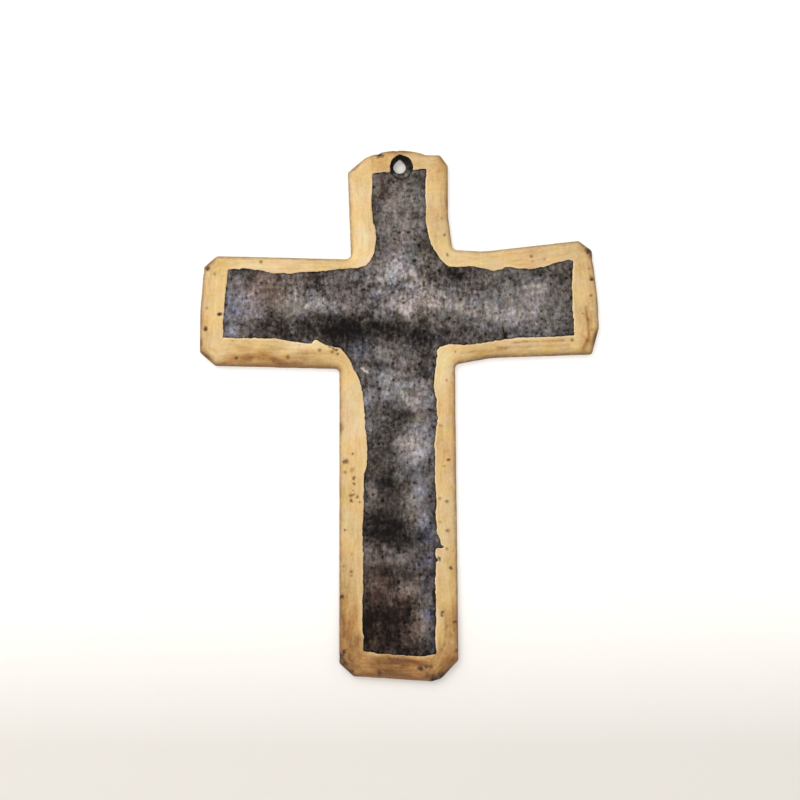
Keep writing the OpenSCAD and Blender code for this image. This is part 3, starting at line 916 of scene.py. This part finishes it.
def speck_group():
    """Small scattered specks. Sparse is the share of the cells without one."""
    inputs = [("Vector", "Vector", None), ("Size", "Float", 1.0), ("Sparse", "Float", 0.5)]
    tree, given, end = new_tree("scattered_specks", "ShaderNodeTree", inputs, [("Mask", "Float")])
    scale = maths(tree, "DIVIDE", 1.0, given["Size"])
    cells = add(tree, "ShaderNodeTexVoronoi", {"Vector": given["Vector"], "Scale": scale, "Randomness": 1.0})
    drawn = made(tree, "ShaderNodeSeparateColor", {0: cells.outputs["Color"]})
    chosen = maths(tree, "GREATER_THAN", drawn, given["Sparse"])
    dot = remap(tree, cells.outputs["Distance"], 0.42, 0.16)
    plug(tree, end, {"Mask": times(tree, chosen, dot)})
    return tree


def cloud_group():
    """Broad soft clouds from 0 to 1, with ragged edges."""
    inputs = [("Vector", "Vector", None), ("Size", "Float", 8.0), ("Low", "Float", 0.35),
              ("High", "Float", 0.65)]
    tree, given, end = new_tree("soft_clouds", "ShaderNodeTree", inputs, [("Mask", "Float")])
    noise = cloudy_noise(tree, given, given["Vector"], 4.0, 0.6)
    limits = {0: noise, 1: given["Low"], 2: given["High"]}
    mask = made(tree, "ShaderNodeMapRange", limits, interpolation_type="SMOOTHSTEP")
    plug(tree, end, {"Mask": mask})
    return tree


GRAIN, SPECKS, CLOUDS = grain_group(), speck_group(), cloud_group()


def use(tree, effect, **inputs):
    """The outputs of an effect's node group, with its own values for this place."""
    return add(tree, "ShaderNodeGroup", inputs, node_tree=effect).outputs


def grain(tree, vector, size, harshness, stretch=(1.0, 1.0, 1.0)):
    """Grain about `size` across, less so along the axes where `stretch` is over 1."""
    return use(tree, GRAIN, Vector=vector, Stretch=stretch, Size=size, Harshness=harshness)


def specks(tree, vector, size, sparse):
    return use(tree, SPECKS, Vector=vector, Size=size, Sparse=sparse)["Mask"]


def clouds(tree, vector, size, low, high):
    return use(tree, CLOUDS, Vector=vector, Size=size, Low=low, High=high)["Mask"]


def new_material(name):
    """A material with an empty tree, its shader and its place on the object in millimetres."""
    material = bpy.data.materials.new(name)
    material.use_nodes = True
    tree = material.node_tree
    tree.nodes.clear()
    shader = add(tree, "ShaderNodeBsdfPrincipled")
    add(tree, "ShaderNodeOutputMaterial", {"Surface": shader.outputs[0]})
    coords = add(tree, "ShaderNodeTexCoord").outputs["Object"]
    place = made(tree, "ShaderNodeMapping", {"Vector": coords, "Scale": (1000, 1000, 1000)})
    return material, tree, shader, place


def relief(tree, height, strength, deep):
    """A normal bumped by `height`, `deep` in millimetres."""
    return made(tree, "ShaderNodeBump", {"Height": height, "Strength": strength, "Distance": deep * MM})


def point_value(tree, label, which="Fac"):
    """What the mesh holds at each point under that label."""
    return add(tree, "ShaderNodeAttribute", attribute_name=label).outputs[which]


def tint_in_films(tree, place, colour, films):
    """Lays thin coloured films over a finish. Each has its own shift, cloud size, tint and share."""
    for shift, size, tint, share in films:
        there = vectors(tree, "ADD", place, shift)
        colour = tinted(tree, times(tree, clouds(tree, there, size, 0.38, 0.62), share), colour, tint)
    return colour


def black_iron():
    """Blackened sheet iron, worn bright and streaky, with pits, bluish bloom and rust, and painted
    reflections, light and shade in its tone.
    """
    material, tree, shader, place = new_material("black_iron")
    streaks = grain(tree, place, 0.95, 0.7, (1.5, 1.0, 0.45))
    fine = grain(tree, place, 0.8, 1.15, (1.0, 1.0, 0.9))
    blotch = grain(tree, place, 2.6, 1.1, (1.0, 1.0, 0.9))
    clots = grain(tree, place, 1.6, 0.85, (0.9, 1.0, 1.0))
    mottle = point_value(tree, "mottle")
    grains = total(tree, streaks["Grain"], fine["Grain"], blotch["Grain"])
    # The tone holds painted reflections, and painted light and shade at the paint's edge and in the dish
    level = total(tree, point_value(tree, "tone"), times(tree, grains, mottle))
    level = total(tree, level, times(tree, clots["Grain"], remap(tree, mottle, 0.8, 1.25, 0.25, 1.2)))
    pits, small_pits = specks(tree, place, 1.15, 0.72), specks(tree, place, 0.6, 0.78)
    dark = maths(tree, "MAXIMUM", pits, times(tree, small_pits, 0.8))
    level = maths(tree, "SUBTRACT", level, times(tree, dark, 0.3))
    colour = ramp(tree, remap(tree, level, -0.2, 1.0), [
        (0, (17, 13, 13)), (0.17, (31, 26, 25)), (0.29, (54, 48, 45)), (0.42, (79, 72, 68)),
        (0.58, (112, 106, 102)), (0.77, (150, 143, 141)), (1, (202, 197, 197))])
    colour = tint_in_films(tree, place, colour, [
        ((0, 0, 0), 3.2, (236, 245, 262), 0.7), ((31, 0, 7), 2.6, (257, 247, 254), 0.6),
        ((-17, 0, 23), 2.2, (248, 258, 248), 0.6), ((5, 0, -41), 3.8, (264, 252, 238), 0.6)])
    blue = times(tree, point_value(tree, "blue"), clouds(tree, place, 3.0, 0.3, 0.6))
    colour = tinted(tree, times(tree, blue, 0.85), colour, (205, 219, 266))
    colour = tinted(tree, times(tree, point_value(tree, "brown"), 0.9), colour, (255, 226, 210))
    rust = times(tree, point_value(tree, "rust"), clouds(tree, place, 7.0, 0.36, 0.6))
    rust_colour = ramp(tree, total(tree, 0.5, fine["Grain"], blotch["Grain"]), [
        (0.1, (46, 32, 26)), (0.45, (82, 54, 38)), (0.8, (124, 80, 50)), (1, (152, 104, 66))])
    height = total(tree, streaks["Height"], times(tree, fine["Height"], 0.5))
    plug(tree, shader, {
        "Base Color": blend(tree, rust, colour, rust_colour),
        "Roughness": remap(tree, total(tree, level, times(tree, rust, -0.4)), 0.0, 1.0, 0.66, 0.46),
        "Metallic": times(tree, maths(tree, "SUBTRACT", 1.0, rust), 0.35),
        "Normal": relief(tree, maths(tree, "SUBTRACT", height, dark), 0.55, 0.06),
        "Specular IOR Level": 0.15,
    })
    return material


def gold_paint():
    """Bronze-powder gold paint: brushed, pale at its lip, brown and dirty at the cut edge with painted shade
    there, and chipped.
    """
    material, tree, shader, place = new_material("gold_paint")
    stroke = point_value(tree, "stroke", "Vector")
    streaks = grain(tree, stroke, 0.5, 0.5, (0.12, 1.0, 0.0))
    broad = grain(tree, stroke, 1.6, 0.3, (0.2, 1.0, 0.0))
    fine, wash = grain(tree, place, 0.7, 0.36), grain(tree, place, 3.5, 0.4)
    # The age holds painted shade along the right and lower edges
    age_and_shade = total(tree, point_value(tree, "aged_and_shaded"), streaks["Grain"], broad["Grain"])
    age_and_shade = total(tree, age_and_shade, fine["Grain"], wash["Grain"])
    colour = ramp(tree, age_and_shade, [
        (0, (243, 216, 164)), (0.3, (226, 191, 131)), (0.55, (201, 161, 100)), (0.8, (167, 119, 65)),
        (1, (122, 81, 44))])
    colour = tint_in_films(tree, place, colour, [
        ((0, 0, 0), 4.4, (249, 256, 286), 0.75), ((31, 0, 7), 3.2, (258, 250, 257), 0.6),
        ((-17, 0, 23), 2.8, (252, 261, 246), 0.6), ((5, 0, -41), 5.5, (258, 252, 242), 0.4)])
    colour = blend(tree, times(tree, point_value(tree, "lip"), 0.55), colour, plain(246, 218, 172))
    broken = remap(tree, clouds(tree, place, 1.4, 0.3, 0.62), 0, 1, 0.55, 1.0)
    # Dirt and painted shade along the cut edge
    grime_and_shade = times(tree, point_value(tree, "grime_and_shade"), broken)
    colour = blend(tree, grime_and_shade, colour, plain(126, 102, 74))
    flecks = times(tree, specks(tree, place, 1.5, 0.93), 0.5)
    chip = maths(tree, "MAXIMUM", point_value(tree, "chip"), flecks)
    stained, bare = remap(tree, chip, 0.0, 0.5), remap(tree, chip, 0.35, 1.0)
    colour = blend(tree, times(tree, stained, 0.75), colour, plain(146, 100, 58))
    height = total(tree, streaks["Height"], times(tree, fine["Height"], 0.4))
    spoiled = maths(tree, "MAXIMUM", bare, grime_and_shade)
    plug(tree, shader, {
        "Base Color": blend(tree, times(tree, bare, 0.9), colour, plain(74, 54, 38)),
        "Roughness": total(tree, remap(tree, age_and_shade, 0, 1, 0.44, 0.66), times(tree, grime_and_shade, 0.1)),
        "Metallic": times(tree, maths(tree, "SUBTRACT", 1.0, spoiled), 0.3),
        "Normal": relief(tree, maths(tree, "SUBTRACT", height, times(tree, flecks, 0.8)), 0.5, 0.05),
        "Specular IOR Level": 0.4,
    })
    return material


def bead_paint():
    """The same gold where it stands thick along the brush's edge: cleaner, paler, and browner at the foot."""
    material, tree, shader, place = new_material("bead_paint")
    wash, fine = grain(tree, place, 3.0, 0.9), grain(tree, place, 0.5, 0.5)
    height = add(tree, "ShaderNodeSeparateXYZ", {0: place}).outputs["Z"]
    lower = remap(tree, height, -95.0, -110.0, 0.0, 0.3)
    level = maths(tree, "ADD", total(tree, 0.22, lower), total(tree, wash["Grain"], fine["Grain"]))
    plug(tree, shader, {
        "Base Color": ramp(tree, level, [
            (0, (244, 218, 172)), (0.35, (232, 202, 150)), (0.7, (196, 156, 104)), (1, (140, 100, 62))]),
        "Roughness": remap(tree, level, 0, 1, 0.46, 0.62),
        "Metallic": 0.25,
        "Normal": relief(tree, fine["Height"], 0.4, 0.03),
    })
    return material


def rust_scale():
    """Loose rust in small raised blisters."""
    material, tree, shader, place = new_material("rust_scale")
    fine, wash = grain(tree, place, 0.5, 1.0), grain(tree, place, 5.0, 1.4)
    level = total(tree, 0.45, fine["Grain"], wash["Grain"])
    plug(tree, shader, {
        "Base Color": ramp(tree, level, [
            (0, (40, 29, 25)), (0.4, (76, 51, 37)), (0.75, (118, 76, 48)), (1, (146, 100, 62))]),
        "Roughness": remap(tree, level, 0, 1, 0.7, 0.9),
        "Normal": relief(tree, fine["Height"], 0.5, 0.04),
    })
    return material


# ---------------------------------------------------------------- pieces that repeat or follow a line

def shape_tree(name, inputs):
    """An empty geometry node tree that takes a shape with some named sizes, and gives a shape."""
    shape = ("Geometry", "Geometry")
    tree, given, end = new_tree(name, "GeometryNodeTree", [(*shape, None)] + inputs, [shape])
    tree.is_modifier = True
    return tree, given, end


def finished(tree, shape, given, end):
    """Ends a tree: smooth, real faces with the tree's own Finish."""
    smooth = made(tree, "GeometryNodeSetShadeSmooth", {"Geometry": shape})
    solid = made(tree, "GeometryNodeRealizeInstances", {"Geometry": smooth})
    coated = made(tree, "GeometryNodeSetMaterial", {"Geometry": solid, "Material": given["Finish"]})
    plug(tree, end, {"Geometry": coated})
    return tree


def grown(name, base, tree, values):
    """The plain mesh that a tree makes from `base`, as a new object. `base` is removed."""
    modifier = base.modifiers.new(name, "NODES")
    modifier.node_group = tree
    for item in tree.interface.items_tree:
        if item.item_type == "SOCKET" and item.in_out == "INPUT" and item.name in values:
            modifier[item.identifier] = values[item.name]
    depsgraph = bpy.context.evaluated_depsgraph_get()
    mesh = bpy.data.meshes.new_from_object(base.evaluated_get(depsgraph), depsgraph=depsgraph)
    mesh.name = name
    bpy.data.objects.remove(base)
    return put(name, mesh)


def clip_to_box(obj):
    """Presses any point that would stand out of the solid's box back onto it."""
    for vert in obj.data.vertices:
        vert.co.y = min(max(vert.co.y, cad_low.y), cad_high.y)


def bead_tree():
    """A low uneven bead along a line: a round section, its size from noise, pressed towards the sheet."""
    tree, given, end = shape_tree("paint_bead", [
        ("Radius", "Float", 0.1), ("Lumps", "Float", 1.0), ("Flatness", "Float", 0.4), ("Sides", "Int", 8),
        ("Finish", "Material", None)])
    here = made(tree, "GeometryNodeInputPosition")
    noise = made(tree, "ShaderNodeTexNoise", {"Vector": here, "Scale": given["Lumps"], "Detail": 3.0})
    size = remap(tree, noise, 0.42, 0.66, 0.3, 1.25)
    kept = made(tree, "GeometryNodeStoreNamedAttribute",
                {"Geometry": given["Geometry"], "Name": "line", "Value": here},
                data_type="FLOAT_VECTOR", domain="POINT")
    curve = made(tree, "GeometryNodeMeshToCurve", {"Mesh": kept})
    sized = made(tree, "GeometryNodeSetCurveRadius", {"Curve": curve, "Radius": size})
    section = made(tree, "GeometryNodeCurvePrimitiveCircle",
                   {"Resolution": given["Sides"], "Radius": given["Radius"]})
    tube = made(tree, "GeometryNodeCurveToMesh",
                {"Curve": sized, "Profile Curve": section, "Scale": size, "Fill Caps": True})
    line = made(tree, "GeometryNodeInputNamedAttribute", {"Name": "line"}, data_type="FLOAT_VECTOR")
    off = vectors(tree, "SUBTRACT", line, here)
    press = made(tree, "ShaderNodeCombineXYZ", {"Y": given["Flatness"]})
    move = vectors(tree, "MULTIPLY", off, press)
    flat = made(tree, "GeometryNodeSetPosition", {"Geometry": tube, "Offset": move})
    return finished(tree, flat, given, end)


def blister_tree():
    """Low round blisters scattered over a surface, thick where its `rust` is high."""
    tree, given, end = shape_tree("rust_blisters", [
        ("Density", "Float", 1.0), ("Radius", "Float", 0.1), ("Height", "Float", 0.2), ("Seed", "Int", 1),
        ("Finish", "Material", None)])
    rust = made(tree, "GeometryNodeInputNamedAttribute", {"Name": "rust"}, data_type="FLOAT")
    density = times(tree, maths(tree, "POWER", rust, 3.0), given["Density"])
    points = add(tree, "GeometryNodeDistributePointsOnFaces",
                 {"Mesh": given["Geometry"], "Density": density, "Seed": given["Seed"]}).outputs
    drop = made(tree, "GeometryNodeMeshUVSphere", {"Segments": 8, "Rings": 4, "Radius": given["Radius"]})
    size = add(tree, "FunctionNodeRandomValue", {"Min": 0.25, "Max": 1.0, "Seed": given["Seed"]},
               data_type="FLOAT")
    number = next(socket for socket in size.outputs if socket.enabled)
    wide = times(tree, number, number)
    tall = times(tree, wide, given["Height"])
    scale = made(tree, "ShaderNodeCombineXYZ", {"X": wide, "Y": wide, "Z": tall})
    drops = made(tree, "GeometryNodeInstanceOnPoints", {
        "Points": points["Points"], "Instance": drop, "Rotation": points["Rotation"], "Scale": scale})
    return finished(tree, drops, given, end)


def lay_paint_bead(finish):
    """The bead of paint that the brush left along the inner edge of the border, save round the dish."""
    line = painted + outward(painted) * BEAD_OUT
    clear = dish_reach(*line.T) > BEAD_FROM
    first = int(np.flatnonzero(clear & ~np.roll(clear, 1))[0])
    flat = np.roll(line, -first, axis=0)[:int(clear.sum())]
    x, z = flat.T
    y = front_height(x, z, nearest(flat, rim)[0]) - BEAD_RISE
    mesh = bpy.data.meshes.new("bead_line")
    steps = [(k, k + 1) for k in range(len(flat) - 1)]
    mesh.from_pydata((raised(flat, y) * MM).tolist(), steps, [])
    bead = grown("paint_bead", put("bead_line", mesh), bead_tree(), {
        "Radius": BEAD_RADIUS * MM, "Lumps": 1 / (BEAD_LUMP * MM), "Flatness": BEAD_FLATNESS,
        "Sides": BEAD_SIDES, "Finish": finish})
    clip_to_box(bead)
    return bead


def scatter_blisters(sheet, finish):
    """Rust blisters on the plain back of the sheet, clear of its edge and of the hole."""
    shell = bmesh.new()
    shell.from_mesh(sheet.data)
    shell.normal_update()
    faces = list(shell.faces)
    middles = np.array([face.calc_center_median() for face in faces])[:, (0, 2)] / MM
    clear = (nearest(middles, rim)[0] > BLISTER_RIM_CLEAR) & (np.hypot(*middles.T) > BLISTER_HOLE_CLEAR)
    others = [face for face, is_clear in zip(faces, clear) if face.normal.y < 0.9 or not is_clear]
    bmesh.ops.delete(shell, geom=others, context="FACES")
    mesh = bpy.data.meshes.new("back_face")
    shell.to_mesh(mesh)
    shell.free()
    blisters = grown("rust_blisters", put("back_face", mesh), blister_tree(), {
        "Density": BLISTERS_PER_AREA / MM ** 2, "Radius": BLISTER_RADIUS * MM, "Height": BLISTER_HEIGHT,
        "Seed": BLISTER_SEED, "Finish": finish})
    clip_to_box(blisters)
    return blisters


# ---------------------------------------------------------------- the flat layout for the exporter

def read_all(items, key, width=1, kind=float):
    """One value of every item of a mesh, as an array."""
    flat = np.empty(len(items) * width, kind)
    items.foreach_get(key, flat)
    return flat.reshape(-1, width) if width > 1 else flat


def half_turn_from(middle, value, whole):
    """`value` moved by whole turns until it is within half a turn of `middle`."""
    return middle + (value - middle + whole / 2) % whole - whole / 2


def bake_layout(obj, back_share, inner_strips):
    """A flat layout for the exporter: front and back side by side, and the walls in strips below them.
    `back_share` is how large the back is beside the front. `inner_strips` is for a skin with inner walls."""
    mesh = obj.data
    place = read_all(mesh.vertices, "co", 3) / MM
    normal = read_all(mesh.polygons, "normal", 3)
    corner = read_all(mesh.loops, "vertex_index", kind=np.int32)
    first = read_all(mesh.polygons, "loop_start", kind=np.int32)
    size = read_all(mesh.polygons, "loop_total", kind=np.int32)
    off, run = nearest(place[:, (0, 2)], rim)
    left, right, low, high = (edge / MM for edge in (cad_low.x, cad_high.x, cad_low.z, cad_high.z))

    # Each corner's own place, and that of its face's first corner, so that a face stays in one strip
    face = np.repeat(np.arange(len(size)), size)
    x, y, z = place[corner].T
    lead = corner[first][face]
    steep = np.abs(normal[face, 1]) < 0.4
    back = normal[face, 1] > 0
    at_hole = steep & (np.hypot(place[lead, 0], place[lead, 2]) < HOLE_RADIUS + 0.9)
    at_rim = off[lead] < 0.6
    strip = steep & ~at_hole & (at_rim | inner_strips)

    # The strips run along the cut edge, in as many rows as it takes
    gap, wide, tall = 1.5, 2 * right + 1, high - low + 1
    around, row_long, row_high = len(rim) * RIM_STEP, wide * (1 + back_share), THICK + 1
    rows = math.ceil(around / row_long)
    row = np.floor(run[lead] / row_long)
    run_on = half_turn_from(run[lead], run[corner], around)
    turn = half_turn_from(np.arctan2(place[lead, 2], place[lead, 0]), np.arctan2(z, x), 2 * math.pi)
    strip_top = gap + row_high * (rows * (2 if inner_strips else 1) + 1)

    u, v = gap + x - left, strip_top + z - low
    up_strip = row_high * (row + np.where(at_rim, 0, rows)) + y + THICK
    for here, across, up in (
            (back, 2 * gap + wide + (right - x) * back_share, strip_top + (z - low) * back_share),
            (strip, gap + run_on - row * row_long, gap + up_strip),
            (at_hole, gap + HOLE_RADIUS * (turn + 1.2 * math.pi), strip_top - row_high + y + THICK)):
        u, v = np.where(here, across, u), np.where(here, up, v)
    page = max(3 * gap + row_long, strip_top + tall + gap)
    layer = mesh.uv_layers.new(name="OFBake")
    layer.data.foreach_set("uv", (np.column_stack([u, v]) / page).ravel())


# ---------------------------------------------------------------- pieces

iron_sheet = cut_iron_sheet()
iron_sheet.data.materials.append(black_iron())
bake_layout(iron_sheet, back_share=1.0, inner_strips=False)
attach(iron_sheet, "root")
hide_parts("cross")

gold_border = brush_gold_border()
gold_border.data.materials.append(gold_paint())
bake_layout(gold_border, back_share=0.25, inner_strips=True)
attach(gold_border, "root")

paint_bead = lay_paint_bead(bead_paint())
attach(paint_bead, "root")

rust_blisters = scatter_blisters(iron_sheet, rust_scale())
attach(rust_blisters, "root")


# ---------------------------------------------------------------- camera, light and stage

WALL_Y, FLOOR_Z, REACH = 0.0001, -0.22, 2.0
WALL_GLOW, FLOOR_GLOW = 0.38, 0.06       # light that the camera sees on them, and the object doesn't
# The glow's fading towards the floor is painted shade, and its weaker share behind the hole is a painted
# shadow
GLOW_ENDS, GLOW_FULL = -0.13, -0.085     # the wall's glow dies away between these heights
GLOW_IN_HOLE_SHADOW = 0.3                        # the share of it that is left behind the hole
MIDDLE = (0.0, -0.001, -0.055)
AIM, STAND = Vector((0.00011, -0.0016, -0.05414)), Vector((0.00011, -0.2679, -0.08965))


def wall_glow(tree):
    """The wall's glow, with painted shade: weaker towards the floor, and a painted shadow behind the hole."""
    place = add(tree, "ShaderNodeTexCoord").outputs["Object"]
    height = add(tree, "ShaderNodeSeparateXYZ", {0: place}).outputs["Z"]
    off_hole = add(tree, "ShaderNodeVectorMath", {0: place}, operation="LENGTH").outputs["Value"]
    shaded = remap(tree, off_hole, HOLE_RADIUS * MM, 2 * HOLE_RADIUS * MM, GLOW_IN_HOLE_SHADOW, 1.0)
    return times(tree, remap(tree, height, GLOW_ENDS, GLOW_FULL, 0.0, WALL_GLOW), shaded)


def stage_plane(name, corners, colour, glow):
    """A plain surface of the stage, seen from its front only. `glow` gives its light to the camera."""
    material = bpy.data.materials.new(name)
    material.use_nodes = True
    tree = material.node_tree
    tree.nodes.clear()
    diffuse = made(tree, "ShaderNodeBsdfDiffuse", {"Color": colour})
    light = made(tree, "ShaderNodeEmission", {"Color": (1, 1, 1, 1), "Strength": glow(tree)})
    shown = made(tree, "ShaderNodeAddShader", {0: diffuse, 1: light})
    to_camera = add(tree, "ShaderNodeLightPath").outputs["Is Camera Ray"]
    both = made(tree, "ShaderNodeMixShader", {0: to_camera, 1: diffuse, 2: shown})
    clear = made(tree, "ShaderNodeBsdfTransparent")
    behind = add(tree, "ShaderNodeNewGeometry").outputs["Backfacing"]
    surface = made(tree, "ShaderNodeMixShader", {0: behind, 1: both, 2: clear})
    add(tree, "ShaderNodeOutputMaterial", {"Surface": surface})
    mesh = bpy.data.meshes.new(name)
    mesh.from_pydata(corners, [], [(0, 1, 2, 3)])
    mesh.materials.append(material)
    plane = put(name, mesh)
    return plane


def soft_lamp(name, place, size, watts):
    """A round lamp that faces the middle of the cross."""
    light = bpy.data.lights.new(name, "AREA")
    light.shape, light.size, light.energy = "DISK", size, watts
    lamp = put(name, light)
    lamp.location = place
    lamp.rotation_euler = (Vector(MIDDLE) - Vector(place)).to_track_quat("-Z", "Y").to_euler()


def light_studio():
    """Even daylight from all round. The camera sees it as white paper."""
    world = bpy.data.worlds.new("studio")
    bpy.context.scene.world = world
    world.use_nodes = True
    sky = world.node_tree
    sky.nodes.clear()
    daylight = made(sky, "ShaderNodeBackground", {"Color": (1.0, 0.99, 0.975, 1), "Strength": 0.78})
    paper = made(sky, "ShaderNodeBackground", {"Color": (1.0, 0.995, 0.985, 1), "Strength": 0.9})
    to_camera = add(sky, "ShaderNodeLightPath").outputs["Is Camera Ray"]
    shown = made(sky, "ShaderNodeMixShader", {0: to_camera, 1: daylight, 2: paper})
    add(sky, "ShaderNodeOutputWorld", {"Surface": shown})


def stand_camera():
    """The camera before the cross, standing a little low."""
    camera = put("camera", bpy.data.cameras.new("camera"))
    camera.data.lens, camera.data.sensor_width = 54.0, 36.0
    camera.data.clip_start = 0.01
    camera.location = STAND
    camera.rotation_euler = (AIM - STAND).to_track_quat("-Z", "Y").to_euler()
    bpy.context.scene.camera = camera


ENDS = ((-1, 0), (1, 0), (1, 1), (-1, 1))      # left or right, and the near or low end or the other
wall_corners = [(side * REACH, WALL_Y, FLOOR_Z + up * (REACH - FLOOR_Z)) for side, up in ENDS]
wall = stage_plane("wall", wall_corners, plain(236, 232, 227), wall_glow)
# The wall is there for the camera alone
wall.visible_diffuse = wall.visible_glossy = wall.visible_shadow = wall.visible_transmission = False
floor_corners = [(side * REACH, (2 * away - 1) * REACH, FLOOR_Z) for side, away in ENDS]
stage_plane("floor", floor_corners, plain(228, 226, 223), lambda tree: FLOOR_GLOW)
soft_lamp("window", (-0.5, -0.62, 0.55), 0.7, 3.6)
soft_lamp("back_fill", (-0.5, 0.8, 0.4), 0.6, 5.0)
light_studio()
stand_camera()
bpy.context.scene.view_settings.view_transform = "Standard"
